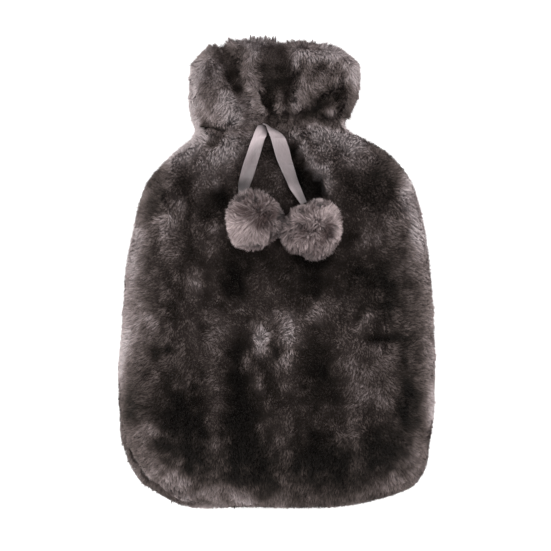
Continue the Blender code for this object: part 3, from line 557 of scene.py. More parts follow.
# darker places: partly the pile's brushed tone and partly painted shade, as in the collar's folds and beside
# the ribbon
brushedAndShadedPile = (
    # collar
    (-33, 148, 5, 15, 0, .20), (-28, 129, 3, 12, 18, .16), (3, 148, 9, 17, 0, .28),
    (-6, 130, 3, 18, 5, .24), (9, 128, 2.5, 10, 0, .26), (34, 152, 5, 4, 20, .22),
    (48, 131, 16, 5.5, 18, .24), (29, 118, 12, 3, 26, .34), (53, 117, 5, 6, 0, .46),
    (-62, 116, 5, 4, 0, .18), (-46, 116, 5, 5, 0, .14), (-27, 106, 4, 4, 0, .16),
    (-11.5, 142, 4, 9, 0, .12), (24, 140, 8, 9, 0, .20), (31, 113, 7, 5, 20, .20), (-53, 135, 8, 4, 0, .14),
    (-54, 130, 9, 8, 0, .12), (-63, 152, 5, 8, 0, .10), (-34, 163, 8, 6, 0, .12), (38, 124, 6, 5, 0, .12),
    (44, 107, 8, 7, 0, .18), (-2, 130, 4, 6, 0, .12),
    # shoulders, and beside the ribbon
    (69, 62, 20, 19, 0, .26), (-66, 74, 11, 14, 0, .18), (-39, 60, 8, 17, -25, .38),
    (22, 64, 9, 13, 12, .34), (14, 86, 4, 14, 18, .16), (-51, 95.5, 6, 3, 28, .16),
    (-50, 58, 9, 18, 0, .18), (-90, 53, 5, 5, 0, .26), (93, 74, 6, 5, 0, .12), (95, 66, 6, 8, 0, .20),
    (38, 57, 7, 7, 0, .16), (-93, 68, 9, 17, -40, .34), (73, 86, 12, 5, -35, .14), (-47, 91, 7, 5, 0, .12),
    (-57, 83, 6, 5, 0, .08), (-49, 93, 5, 3, 0, .18),
    # left side
    (-73, -106, 17, 16, 0, .30), (-66, 42, 8, 15, 0, .18), (-60, -120, 10, 40, 0, .14),
    (-103, -68, 9, 36, 0, .18), (-98, 40, 7, 9, 0, .24), (-94, 17, 8, 10, 0, .10), (-92, 5, 6, 8, 0, .10),
    (-108, -40, 5, 8, 0, .14), (-72, -31, 5, 13, 0, .16), (-107, -98, 5, 18, 0, .16),
    (-98, 48, 6, 7, 0, .18), (-93, 24, 7, 9, 0, .12), (-99, -13, 8, 14, 0, .10), (-79, -24, 5, 12, 0, .12),
    (-83, -57, 11, 5, 0, .38), (-107, -24, 4, 12, 0, .08), (-110, -73, 4, 8, 0, .12),
    (-105, -112, 6, 8, 0, .20),
    # middle
    (-31, -2, 13, 19, 0, .38), (26, -2, 19, 19, 0, .36), (-29, -75, 7, 26, 0, .26),
    (33, -69, 13, 22, 0, .28), (-25, -120, 12, 38, 0, .32), (45, 12, 30, 8, 0, .10), (-5, 8, 16, 6, 0, .08),
    (-54, -28, 5, 18, 0, .10), (53, -107, 6, 6, 0, .16), (0, -26, 8, 5, 0, .16), (0, -53, 6, 6, 0, .18),
    (-9, 8, 11, 6, 0, .10), (17, -88, 6, 12, 0, .10), (0, 18, 50, 8, 0, .08), (28, -102, 18, 22, 0, .08),
    (-54, -122, 8, 26, 0, .06), (3.5, -61, 5, 9, 0, .26), (-54, -45, 6, 8, 0, .14),
    # right side
    (66, -6, 12, 14, 0, .27), (79, -47, 17, 3.5, 0, .42), (97, -95, 6, 32, 0, .26), (98, 37, 6, 11, 0, .30),
    (62, 27, 6, 6, 0, .18), (80, 9, 5, 6, 0, .12), (80, 35, 5, 6, 0, .16), (98, -55, 12, 20, 0, .22),
    (107, -62, 4, 24, 0, .12), (88, -24, 6, 8, 0, .10), (62, -30, 6, 11, 0, .20), (82, -18, 9, 17, 0, .28),
    (106, -100, 5, 18, 0, .20), (92, -20, 16, 12, 0, .12), (56, -37, 7, 7, 0, .12), (84, -8, 5, 20, 0, .12),
    (64, -63, 11, 9, 0, .28),
    # lower edge
    (-64, -136, 8, 12, 0, .28), (31, -139, 18, 18, 0, .34), (78, -133, 13, 17, 0, .32),
    (-83, -129, 12, 8, 0, .28), (-80, -152, 5, 5, 0, .14), (-52, -160, 8, 5, 0, .18),
    (-45, -134, 5, 8, 0, .10), (-4, -149, 12, 14, 0, .16), (50, -150, 8, 16, 0, .16),
    (66, -125, 8, 6, 0, .10), (88, -125, 6, 6, 0, .16), (97, -151, 5, 5, 0, .16), (80, -169, 5, 4, 0, .16),
    (-46, -148, 6, 16, 0, .14), (-9, -133, 11, 6, 0, .08), (61, -143, 9, 20, 0, .10),
    (72, -169, 12, 4, 0, .12), (108, -125, 5, 12, 0, .10), (57, -164, 8, 5, 0, .14),
    (-20, -132, 16, 8, 0, .06), (-20, -165, 18, 4, 0, .10), (-83, -143, 9, 9, 0, .20),
    (-23, -147, 33, 18, 0, .10), (58, -155, 5, 15, 0, .12),
)
rimLight = (  # painted light on the rounded sides alone, and painted shade where the amount is below 0
    # collar
    (62, 128, 8, 9, 0, -.20), (-66, 140, 10, 34, 0, .24), (-30, 174, 40, 8, 0, .12),
    # shoulders, and beside the ribbon
    (-62, 98, 28, 20, 0, .50), (-92, 78, 10, 10, 0, .12), (54, 101, 15, 10, 0, .40),
    (-104, 66, 12, 14, 0, .28),
    # left side
    (-116, -76, 4, 26, 0, .30), (-110, 22, 12, 22, 0, .16),
    # right side
    (104, 48, 16, 28, 0, .30), (117, -104, 4, 16, 0, .36), (108, 35, 8, 24, 0, .18),
    (108, -4, 14, 22, 0, -.22),
    # lower edge
    (-84, -160, 26, 16, 0, .44), (-52, -178, 40, 8, 0, .26), (70, -172, 40, 14, 0, .22),
    (8, -180, 30, 8, 0, .16),
)
# painted shade along creases at the neck: each crease's line, half its width and how dark
creaseShade = (
    {"line": ((-57.1, 106.8), (-52, 106.3), (-46.3, 105.3), (-38.2, 103.5)), "half": 1.1, "dark": 0.72},
    {"line": ((-42.5, 96.5), (-38.0, 92.5)), "half": 1.2, "dark": 0.20},
)
hollow = {  # painted shade in the deep place right of the ribbon, from its top to the pompom
    "border": ((13.0, 100.1), (17.4, 87.9), (22.6, 77.9), (30.0, 73.4), (34.5, 66.7), (37.4, 57.1)),
    "wobbleSize": 3.5,
    "wobble": 0.7,
    "lowerFade": 3.0,         # how far it fades out below the border's lower end
    "upperFade": (2.0, 6.0),  # and round its upper end
    "dark": 0.38,
    "darkStart": (-0.5, 1.0),
    "wide": 18.0,
    "fade": 4.0,
    "upperEnd": (74, 88),     # towards its upper end it is less dark, by this share
    "upperShare": 0.6,
    "edge": 4.0,              # painted light on the curls along its right side
    "edgeStart": 0.6,
    "edgeEnd": (-1.2, -0.2),
    "light": 0.20,
}
shading = {
    "base": 0.40,
    "wobbleSize": 9.0,        # how the patches' borders wander
    "wobble": 2.2,
    "collarRise": 0.06,       # the collar is a little lighter
    "collarFrom": (90, 110),
    "lowerDrop": 0.13,        # and the lower half a little darker
    "lowerFrom": (50, 110),   # below the middle, and so is ribEnd
    "ribPlaces": (-46, 5, 56),
    "ribWidth": 5.5,
    "ribStart": -20,
    "ribRise": 25,
    "ribLight": 0.20,
    "ribEnd": (120, 165),
    "ribLoss": 0.5,
    "edgeLight": 0.36,        # painted light on the sides, where the pile lies outwards
    "edgeTilt": (0.35, 0.95),
    # how far below the middle that starts and is full, and how much it fades, from where to where
    "leftSide": (-72, -45, 0.75, 65, 105),
    "rightSide": (-88, -70, 0.55, 80, 130),
    "collarEdge": (0.55, 92, 110),    # how much of it the collar has, and where that starts and is full
    "patchTilt": (0.2, 0.8),  # where the rim's own patches count
    "reliefLight": 0.045,     # painted light on ridges and painted shade in hollows, for each millimetre over or under the surroundings
    "reliefReach": (-4, 2),
    "fineSize": 5.0,
    "fineLight": 0.13,
    "wideSize": 22.0,
    "wideLight": 0.06,
    "seamShade": 0.46,         # painted shade where the two panels meet
    "seamWidth": 1.5,
    "seamInFront": 0.3,       # the front panel's share of that
}
backShading = {
    "base": 0.50,
    "wide": (0.20, 26),       # how much the tone changes, and over what size
    "fine": (0.12, 8),
    "edgeShare": 0.6,
    "edgeTilt": (0.5, 0.95),
    "reliefReach": (-6, 2),
    "ledgeTilt": (0.0, 0.4),
    "ledgeLight": 0.46,       # where the back panel shows beyond the front
    "ledgeFine": (0.04, 8),
}


def creaseShadeField(x, y):
    total = np.zeros(len(x))
    for row in creaseShade:
        line = np.array(row["line"], dtype=float)
        nearest = np.full(len(x), np.inf)
        for start, end in zip(line[:-1], line[1:]):
            run = end - start
            share = np.clip(((x - start[0]) * run[0] + (y - start[1]) * run[1]) / (run ** 2).sum(), 0, 1)
            gapX, gapY = x - start[0] - share * run[0], y - start[1] - share * run[1]
            nearest = np.minimum(nearest, np.hypot(gapX, gapY))
        total += row["dark"] * np.exp(-(nearest / row["half"]) ** 2)
    return total


def hollowShadeField(at):  # painted shade in the hollow beside the ribbon, and painted light on its edge
    border = np.array(hollow["border"], dtype=float)[::-1]
    x = at[:, 0] + softNoise(at, hollow["wobbleSize"], 35) * hollow["wobble"]
    y = at[:, 1]
    lowest, highest = border[0, 1], border[-1, 1]
    inside = np.interp(y, border[:, 1], border[:, 0]) - x
    over, under = hollow["upperFade"]
    tall = ease(y, lowest - hollow["lowerFade"], lowest) * ease(-y, -highest - over, -highest + under)
    dark = ease(inside, *hollow["darkStart"])
    dark = dark * (1 - ease(inside, hollow["wide"], hollow["wide"] + hollow["fade"]))
    pale = ease(inside, -hollow["edge"], -hollow["edge"] * hollow["edgeStart"])
    pale = pale * (1 - ease(inside, *hollow["edgeEnd"]))
    dark = hollow["dark"] * dark * (1 - hollow["upperShare"] * ease(y, *hollow["upperEnd"]))
    return tall * (hollow["light"] * pale - dark)


# painted shade along the seam
def seamShadeField(spots):
    return shading["seamShade"] * np.exp(-(spots["seam"] / shading["seamWidth"]) ** 2)


def frontLight(spots):  # 0 for the darkest pile, 1 for the lightest: the pile's own tone with painted light and shade in it
    at, normal = spots["at"], spots["normal"]
    x, y = at[:, 0], at[:, 1]
    wx, wy = (at[:, k] + softNoise(at, shading["wobbleSize"], 31 + k) * shading["wobble"] for k in (0, 1))
    light = shading["base"] + patchField(wx, wy, brushedAndLitPile) - patchField(wx, wy, brushedAndShadedPile)
    light += hollowShadeField(at) - creaseShadeField(x, y)
    light -= shading["lowerDrop"] * ease(-y, *shading["lowerFrom"])
    light += shading["collarRise"] * ease(y, *shading["collarFrom"])
    ribs = sum(np.exp(-((wx - place) / shading["ribWidth"]) ** 2) for place in shading["ribPlaces"])
    ribs = ribs * ease(-y, -shading["ribStart"], shading["ribRise"] - shading["ribStart"])
    light += shading["ribLight"] * ribs * (1 - shading["ribLoss"] * ease(-y, *shading["ribEnd"]))
    outward = ease(np.hypot(normal[:, 0], np.maximum(normal[:, 1], 0)), *shading["edgeTilt"])
    sides = []
    for start, full, loss, lossStart, lossEnd in (shading["leftSide"], shading["rightSide"]):
        sides.append(ease(-y, start, full) * (1 - loss * ease(-y, lossStart, lossEnd)))
    share, start, full = shading["collarEdge"]
    light += shading["edgeLight"] * outward * (np.where(x < 0, *sides) + share * ease(y, start, full))
    light += steepness(normal, *shading["patchTilt"]) * patchField(x, y, rimLight)
    light += shading["reliefLight"] * np.clip(spots["relief"], *shading["reliefReach"])
    light += shading["fineLight"] * softNoise(at, shading["fineSize"], 33) * (1 - outward / 2)
    light += shading["wideLight"] * softNoise(at, shading["wideSize"], 34)
    return np.clip(light - shading["seamInFront"] * seamShadeField(spots), 0, 1)


# the same for the back panel, with painted light on its sides and painted shade in its relief and at the
# seam
def backLight(spots):
    at, normal = spots["at"], spots["normal"]
    wide, fine, ledgeFine = (
        backShading[key][0] * softNoise(at, backShading[key][1], seed)
        for key, seed in (("wide", 41), ("fine", 42), ("ledgeFine", 43))
    )
    light = backShading["base"] + wide + fine
    light += shading["edgeLight"] * backShading["edgeShare"] * steepness(normal, *backShading["edgeTilt"])
    light += shading["reliefLight"] * np.clip(spots["relief"], *backShading["reliefReach"])
    ledge = ease(normal[:, 2], *backShading["ledgeTilt"])
    light += (backShading["ledgeLight"] + ledgeFine - light) * ledge
    return np.clip(light - seamShadeField(spots), 0, 1)


fur = {
    "downwards": 0.5,         # how the pile lies
    "sideways": 0.9,          # how much it leans outwards along the sides and the lower edge
    "sideFrom": (70, 95),
    "lowerFrom": (115, 145),
    "lowerShare": 0.7,
    "outwards": 0.7,          # how much it leans away from the middle on the rim
    "swirlSize": 24,
    "swirl": 0.7,
    "smallSize": 7,
    "small": 0.3,
    "leastWay": 0.3,
    "lean": 0.9,
    "leanInLight": 3.2,
    "leanCurve": 1.5,
    "rimLoss": 0.4,           # how much less it leans on the rim
    "downLean": 0.4,          # how much of that lean the short down has
    "away": 2.2,              # how far strands part along a crease
    "proud": (-0.7, 0.8),     # how far tips stand under or over the surface
    "stray": 0.025,           # share of strands that stand out of the pile
    "strayReach": 2.4,
    "loose": 0.32,            # how far tips are scattered, less in light pile and more on the rim
    "looseInLight": 0.16,
    "looseOnRim": 0.34,
    "locks": 0.22,            # count of small locks, for each strand
    "pull": (0.2, 0.65),      # how far a lock draws its tips together
    "pullInLight": 0.15,
    "tufts": 0.035,           # count of wide tufts
    "spikeCurve": 1.5,
    "spikeGather": 0.22,
    "mostGather": 0.7,
    "tuftTone": 0.09,         # how much tufts, locks and strands differ in tone
    "lockTone": 0.16,
    "toneInLight": (0.45, 0.19),
    "toneOnRim": 0.6,
    "strandTone": 0.032,
    "strandColour": (0.8, 1.2),
    "bendRise": 0.85,         # of the depth: how high a strand goes before it bends
    "bendSwirl": (0.3, 0.9),
    "downLength": (0.75, 0.97),
    # the short down under the pile is painted darker, as shade deep in the pile
    "downShade": 0.7,
    "width": 0.38,
    "widths": (0.7, 1.2),
    "roll": 0.6,
    "bladeShare": 0.35,       # how much a strand's own blade counts in its shading, against the surface
    "tips": (
        # light, red, green, blue
        (0.0, 0.0105, 0.0078, 0.0058),
        (0.2, 0.052, 0.039, 0.0325),
        (0.4, 0.132, 0.100, 0.091),
        (0.6, 0.255, 0.200, 0.188),
        (0.8, 0.45, 0.366, 0.358),
        (1.0, 0.74, 0.64, 0.642),
    ),
    # the roots are painted darker than the tips, as shade deep in the pile
    "root": (0.010, 0.008, 0.007),
    "rootShadeFromTip": (0.10, 0.30),  # of the tip's colour, and what the rim adds to that
}
# how far, in millimetres, tufts stand up along the collar's top
spikes = (
    (-30, 172, 34, 10, 0, 4.0), (24, 172, 34, 10, 0, 3.4), (-65, 142, 8, 28, 0, 1.2),
    (-41, 169, 7, 7, 0, 2.6), (60, 150, 8, 18, 0, 1.2),
)


def tipColours(light):
    stops = np.array(fur["tips"])
    return np.stack([np.interp(light, stops[:, 0], stops[:, k]) for k in (1, 2, 3)], axis=1)


def pileWay(at, normal, rim, swirl):  # which way the pile lies
    small = softVectors(at, fur["smallSize"], 54)
    way = normal * (1, 1, 0) * (fur["outwards"] * rim)[:, None] + (0, -fur["downwards"], 0)
    way = way + swirl * fur["swirl"] + small * fur["small"]
    way[:, 0] += fur["sideways"] * np.sign(at[:, 0]) * ease(np.abs(at[:, 0]), *fur["sideFrom"])
    way[:, 1] -= fur["sideways"] * fur["lowerShare"] * ease(-at[:, 1], *fur["lowerFrom"])
    return unit(alongSurface(way, normal), fur["leastWay"])


def growFur(skin, lightField, material, name, count, seed, keep, bent, widthShare):
    rng = np.random.default_rng(seed)
    spots = scatter(skin, count, rng, keep)
    at, normal, crisp, relief, depth = (spots[key] for key in ("at", "normal", "crisp", "relief", "depth"))
    light = lightField(spots)
    swirl = softVectors(at, fur["swirlSize"], 51)
    rim = steepness(normal, *pelt["rimTilt"])
    way = pileWay(at, normal, rim, swirl)
    lean = (fur["lean"] + fur["leanInLight"] * light ** fur["leanCurve"]) * (1 - fur["rimLoss"] * rim)
    if not bent:
        lean = lean * fur["downLean"]
    strayed = rng.uniform(0, 1, count) < fur["stray"] * (1 + rim)
    proud = rng.uniform(*fur["proud"], count) + rng.uniform(0, fur["strayReach"], count) * strayed
    loose = (fur["loose"] - fur["looseInLight"] * light + fur["looseOnRim"] * rim)[:, None]
    tip = at + normal * proud[:, None] + rng.normal(0, 1, (count, 3)) * loose
    tip -= (crisp - normal) * fur["away"] * np.maximum(-relief, 0)[:, None]

    tuftSeeds = rng.choice(count, int(count * fur["tufts"]), replace=False)
    tuft = nearestSeed(at, at[tuftSeeds])
    lockSeeds = rng.choice(count, int(count * fur["locks"]), replace=False)
    lock = nearestSeed(at, at[lockSeeds])
    spike = rng.uniform(0, 1, count)[tuft] ** fur["spikeCurve"] * rim
    spike = spike * patchField(at[:, 0], at[:, 1], spikes)
    tip += normal * spike[:, None]
    gather = np.minimum(spike * fur["spikeGather"], fur["mostGather"])
    tip += (tip[tuftSeeds][tuft] - tip) * gather[:, None]
    pull = rng.uniform(*fur["pull"], count) + fur["pullInLight"] * light
    tip += (tip[lockSeeds][lock] - tip) * pull[:, None]

    root = at - normal * depth[:, None] - way * lean[:, None]
    tuftTone = rng.uniform(-1, 1, count)[tuft]
    lockTone = rng.uniform(-1, 1, count)[lock]
    inLight, inDark = fur["toneInLight"]
    uneven = (tuftTone * fur["tuftTone"] + lockTone * fur["lockTone"]) * (inLight * light + inDark)
    tone = light + uneven * (1 - fur["toneOnRim"] * rim) + rng.normal(0, fur["strandTone"], count)
    tipColour = tipColours(np.clip(tone, 0, 1)) * rng.uniform(*fur["strandColour"], (count, 1))
    bend = None
    if bent:
        upright = root + normal * depth[:, None] * fur["bendRise"]
        bend = (root + upright * 2 + tip) / 4
        least, more = fur["bendSwirl"]
        bend += swirl * (least + more * light[:, None])
    else:
        tip = root + (tip - root) * rng.uniform(*fur["downLength"], (count, 1))
        tipColour = tipColour * fur["downShade"]
    share, rimShare = fur["rootShadeFromTip"]
    rootColour = np.array(fur["root"]) + tipColour * (share + rimShare * rim)[:, None]
    width = fur["width"] * widthShare * rng.uniform(*fur["widths"], count)
    roll = rng.normal(0, fur["roll"], count)
    piece = makeStrands(name, root, bend, tip, width, roll, crisp, rootColour, tipColour, material)
    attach(piece, body)
    print("grown", name, count, "strands")
    return piece


pompoms = (
    # across and along: where its middle is. lit: which side is lighter. pole: where the pile parts, in
    # x and y from its middle. comb: how far it is swept from there. spots: darker places, with x, y,
    # reach and amount. shape: where it reaches out or in, with degrees, width in degrees, millimetres
    {
        "name": "pompomLeft", "node": "pompom_left", "across": -15.6, "along": 37.7, "radius": 22.8,
        "seed": 78, "lit": (-0.6, -0.8), "pole": (8, 10), "comb": (0.50, 0.50),
        "spots": ((7, 0, 9, .47), (-2, 17, 5, .25), (-11, 7, 5, .38), (-5, -11, 8, -.14)),
        "shape": ((0, 30, 0.8), (55, 25, -0.8), (114, 26, 1.9), (234, 34, 2.2)),
    },
    {
        "name": "pompomRight", "node": "pompom_right", "across": 26.8, "along": 30.9, "radius": 24.0,
        "seed": 87, "lit": (0.5, 0.9), "pole": (-4, 3), "comb": (0.25, 0.55),
        "spots": (
            (-12, -5, 6, .46), (12, -3, 7, .62), (0, -12, 6, .20), (-6, 14, 3, .30),
            (0, 22, 4, .25), (2, 9, 6, -.16), (14, 15, 6, -.20),
        ),
        "shape": (
            (45, 22, 2.4), (106, 17, -3.2), (143, 16, -0.6), (185, 30, 1.8), (215, 20, 1.4),
            (245, 15, -0.8), (-90, 14, 0.6), (-60, 15, -0.6), (-30, 18, -1.4),
        ),
    },
)
pompomLook = {
    "coreShare": 0.60,        # of the radius
    "coreLarger": 1.04,       # so that the strands' roots are inside it
    "bentStrands": 14000,
    "straightStrands": 26000,
    "scatter": 0.03,
    "surface": 0.97,          # of the radius: where the pile ends on the whole
    "uneven": 0.05,
    "unevenSize": 15,
    "shapeTilt": (0.4, 1.0),  # the shape counts towards the sides
    "proud": (-1.2, 0.5),
    "stray": 0.05,
    "strayReach": 1.6,
    "partWidth": 0.7,         # of the radius: how softly it parts
    "swirl": 0.42,
    "swirlSize": 8.0,
    "loose": 0.13,
    "locks": 1900,
    "lockDrop": 1.6,          # how far some locks stay below the others
    "pull": (0.2, 0.65),      # how far a lock draws its tips together
    "tipSwept": 0.2,
    "rootSwept": 0.55,
    "bendShare": 0.6,         # of the way from root to tip
    "bendRise": 0.05,         # of the radius
    "downLength": (0.78, 0.98),
    # the pompoms' short down is painted darker, as shade deep in the pile
    "downShade": 0.75,
    "width": 0.42,
    "widths": (0.7, 1.2),
    "roll": 1.5,
    "tone": 0.485,
    "wideTone": 0.16,
    "wideSize": 11,
    "lockTone": 0.29,
    "litTone": 0.16,
    "strandTone": 0.12,
    "toneCurve": 1.3,
    # roots painted dark, as shade deep in the pile
    "root": (0.034, 0.023, 0.022),
    "dark": (0.115, 0.075, 0.072),
    "light": (0.88, 0.72, 0.715),
}


def growPompomStrands(name, details, middle, seed, count, bent, material):
    rng = np.random.default_rng(seed)
    radius, lookSeed = details["radius"], details["seed"]
    k = np.arange(count) + 0.5
    polar = np.arccos(1 - 2 * k / count)
    turn = np.pi * (1 + 5 ** 0.5) * k  # a spiral that covers the ball evenly
    out = np.stack((np.cos(turn) * np.sin(polar), np.sin(turn) * np.sin(polar), np.cos(polar)), axis=1)
    out = unit(out + rng.normal(0, pompomLook["scatter"], (count, 3)))
    place = middle + out * radius
    swirl = alongSurface(softVectors(place, pompomLook["swirlSize"], lookSeed), out)
    uneven = pompomLook["uneven"] * softNoise(place, pompomLook["unevenSize"], lookSeed + 5)
    reach = radius * (pompomLook["surface"] + uneven)
    around = np.degrees(np.arctan2(out[:, 1], out[:, 0]))
    for heading, wide, amount in details["shape"]:
        gap = (around - heading + 180) % 360 - 180
        reach += amount * np.exp(-(gap / wide) ** 2) * steepness(out, *pompomLook["shapeTilt"])
    reach += rng.uniform(*pompomLook["proud"], count)
    strayReach = rng.uniform(0, pompomLook["strayReach"], count)
    reach += strayReach * (rng.uniform(0, 1, count) < pompomLook["stray"])
    comb = (place - middle - (*details["pole"], 0)) * (1, 1, 0)
    comb = unit(comb, radius * pompomLook["partWidth"]) * (*details["comb"], 0)
    comb = alongSurface(comb, out)
    seeds = rng.choice(count, pompomLook["locks"], replace=False)
    lock = nearestSeed(place, place[seeds])
    own = rng.normal(0, 1, (len(seeds), 3))[lock]
    reach -= rng.uniform(0, pompomLook["lockDrop"], len(seeds))[lock]
    swept = swirl * pompomLook["swirl"] + comb + own * pompomLook["loose"]
    tip = middle + unit(out + swept * pompomLook["tipSwept"]) * reach[:, None]
    tip += (tip[seeds][lock] - tip) * rng.uniform(*pompomLook["pull"], (count, 1))
    root = middle + unit(out - swept * pompomLook["rootSwept"]) * radius * pompomLook["coreShare"]
    patchy = softNoise(place, pompomLook["wideSize"], lookSeed + 6)
    light = pompomLook["tone"] + pompomLook["wideTone"] * patchy
    light += pompomLook["lockTone"] * rng.uniform(-1, 1, len(seeds))[lock]
    light += pompomLook["litTone"] * (out[:, 0] * details["lit"][0] + out[:, 1] * details["lit"][1])
    for x, y, wide, amount in details["spots"]:
        gap = np.hypot(place[:, 0] - middle[0] - x, place[:, 1] - middle[1] - y)
        light -= amount * np.exp(-(gap / wide) ** 2)
    light = np.clip(light + rng.normal(0, pompomLook["strandTone"], count), 0, 1)
    dark, pale = np.array(pompomLook["dark"]), np.array(pompomLook["light"])
    tipColour = dark + light[:, None] ** pompomLook["toneCurve"] * (pale - dark)
    bend = None
    if bent:
        bend = root + (tip - root) * pompomLook["bendShare"] + out * pompomLook["bendRise"] * radius
    else:
        tip = root + (tip - root) * rng.uniform(*pompomLook["downLength"], (count, 1))
        tipColour = tipColour * pompomLook["downShade"]
    rootColour = np.tile(pompomLook["root"], (count, 1))
    width = pompomLook["width"] * rng.uniform(*pompomLook["widths"], count)
    roll = rng.uniform(-pompomLook["roll"], pompomLook["roll"], count)
    return makeStrands(name, root, bend, tip, width, roll, out, rootColour, tipColour, material)


def growPompom(details, material, coreMaterial):
    name, radius, seed = details["name"], details["radius"], details["seed"]
    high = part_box(details["node"])[1].z / mm
    middle = np.array((details["across"], details["along"], high - radius * pompomLook["surface"]))
    count, downCount = pompomLook["bentStrands"], pompomLook["straightStrands"]
    pile = growPompomStrands(name + "Pile", details, middle, seed, count, True, material)
    down = growPompomStrands(name + "Down", details, middle, seed + 9, downCount, False, material)
    coreRadius = radius * pompomLook["coreShare"] * pompomLook["coreLarger"]
    centre = Vector(middle) * mm
    bpy.ops.mesh.primitive_ico_sphere_add(subdivisions=4, radius=coreRadius * mm, location=centre)
    core = bpy.context.object
    core.name = name + "Core"
    core.data.materials.append(coreMaterial)
    paintPoints(core.data, np.tile(pelt["core"], (len(core.data.vertices), 1)))
    for piece in (pile, down, core):
        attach(piece, body)
    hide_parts(details["node"])
    print("grown", name)


ribbon = {
    "width": 10.5,
    "thickness": 0.35,
    "steps": 96,
    "columns": 12,
    "crown": 0.5,
    "deepest": 4.0,           # how far a tail's right edge is turned down where it is gathered
    "levelRounds": 30,
    "rayFrom": 200.0,
    "colour": (0.36, 0.30, 0.31),
}
tails = (
    # rows from the neck to the pompom: x and y of the left edge, x and y of the right edge as seen
    # from above, and the painted highlight and shade on the satin at its left edge, middle and right edge
    {
        "name": "ribbonLeft", "node": "ribbon_left",
        "rows": (
            (-13.7, 108.2, -8.9, 109.0, .65, .34, .30),
            (-15.7, 104.0, -7.0, 104.2, 1.60, 1.45, .40),
            (-17.7, 98.8, -7.5, 100.4, 1.75, 1.80, 2.00),
            (-19.1, 95.4, -9.0, 96.6, 1.80, 1.35, 1.40),
            (-20.3, 91.8, -10.2, 92.4, 1.48, 1.03, .88),
            (-21.4, 88.3, -11.4, 88.2, 1.22, .74, .93),
            (-24.8, 78.1, -14.3, 78.6, .71, .58, .79),
            (-26.8, 70.1, -17.0, 69.8, .60, .40, .58),
            (-27.9, 64.0, -19.2, 64.0, .12, .18, .34),
            (-27.7, 58.0, -20.6, 58.4, .38, .30, .30),
        ),
    },
    {
        "name": "ribbonRight", "node": "ribbon_right",
        "rows": (
            (-10.2, 109.4, -9.4, 110.0, 1.00, 1.00, 1.00),
            (-7.6, 108.0, -6.6, 108.6, .80, .80, .80),
            (-6.8, 105.6, -4.0, 106.4, 1.10, .85, .80),
            (-5.8, 103.0, 1.5, 103.7, 1.35, 1.15, .45),
            (-4.4, 99.2, 5.8, 99.7, 1.22, 1.26, 1.36),
            (-3.0, 94.2, 8.2, 94.2, 1.07, .96, 1.00),
            (0.5, 82.1, 11.3, 82.4, .70, .78, .66),
            (3.7, 74.9, 13.5, 74.9, .71, .63, .50),
            (7.7, 66.1, 16.2, 66.1, .54, .56, .34),
            (10.3, 60.4, 18.5, 60.4, 1.20, .60, .56),
            (13.7, 55.6, 20.3, 55.6, 1.02, .47, .40),
            (17.8, 49.5, 22.2, 51.0, .80, .45, .40),
        ),
    },
)


def readCurve(travel, values, wanted):
    slopes = np.gradient(values, travel)
    k = np.clip(np.searchsorted(travel, wanted) - 1, 0, len(travel) - 2)
    run = travel[k + 1] - travel[k]
    t = (wanted - travel[k]) / run
    start = (1 + 2 * t) * (1 - t) ** 2 * values[k] + t * (1 - t) ** 2 * run * slopes[k]
    return start + t * t * (3 - 2 * t) * values[k + 1] - t * t * (1 - t) * run * slopes[k + 1]


def satinMaterial():
    material, shader, tree = newMaterial("satin")
    place = addNode(tree, "UVMap")
    place.uv_map = "weave"
    threads = addNode(tree, "TexWave", {"Scale": 1.4, "Distortion": 0.6})
    threads.bands_direction = "X"
    stretch = addNode(tree, "Mapping", {"Scale": (1.0, 0.12, 1.0)})
    floats = addNode(tree, "TexNoise", {"Scale": 2.2, "Detail": 3})
    colour = np.array(ribbon["colour"])
    ramp = addRamp(tree, (0.3, colour * 0.86), (0.7, colour * 1.1))
    bump = addNode(tree, "Bump", {"Strength": 0.25, "Distance": 0.0002})
    # the tails' painted highlight and shade
    tone = addPaint(tree, "tone")
    mix = addMultiply(tree)
    connect(tree, (place, "UV", threads, "Vector"), (place, "UV", stretch, "Vector"),
            (stretch, "Vector", floats, "Vector"), (floats, "Fac", ramp, "Fac"),
            (threads, "Fac", bump, "Height"), (ramp, "Color", mix, "A"), (tone, "Color", mix, "B"),
            (mix, "Result", shader, "Base Color"), (bump, "Normal", shader, "Normal"))
    shader.inputs["Roughness"].default_value = 0.34
    shader.inputs["Anisotropic"].default_value = 0.5
    shader.inputs["Sheen Weight"].default_value = 0.2
    return material


def tailHeights(node, spots, wanted):  # of the CAD tail along its middle line, evened out
    points, triangles = readNode(node)
    tree = BVHTree.FromPolygons(points.tolist(), triangles.tolist())
    heights = []
    for spot in spots:
        hit = tree.ray_cast(Vector((*spot, ribbon["rayFrom"])), -up)[0]
        heights.append(hit.z if hit else math.nan)
    heights = np.array(heights)
    real = ~np.isnan(heights)
    heights = np.interp(wanted, wanted[real], heights[real])
    for _ in range(ribbon["levelRounds"]):
        heights[1:-1] = (heights[:-2] + heights[1:-1] * 2 + heights[2:]) / 4
    return heights


def bandFaces(rows, wide):  # of a closed band: an upper and a lower layer of points, and its rim
    under = rows * wide
    faces = []
    for row in range(rows - 1):
        for k in range(wide - 1):
            a = row * wide + k
            faces.append((a, a + wide, a + wide + 1, a + 1))
            faces.append((under + a, under + a + 1, under + a + wide + 1, under + a + wide))
    rim = [row * wide for row in range(rows)]
    rim += [under - wide + k for k in range(1, wide)]
    rim += [row * wide + wide - 1 for row in range(rows - 2, -1, -1)]
    rim += list(range(wide - 2, 0, -1))
    for a, b in zip(rim, rim[1:] + rim[:1]):
        faces.append((a, under + a, under + b, b))
    return faces


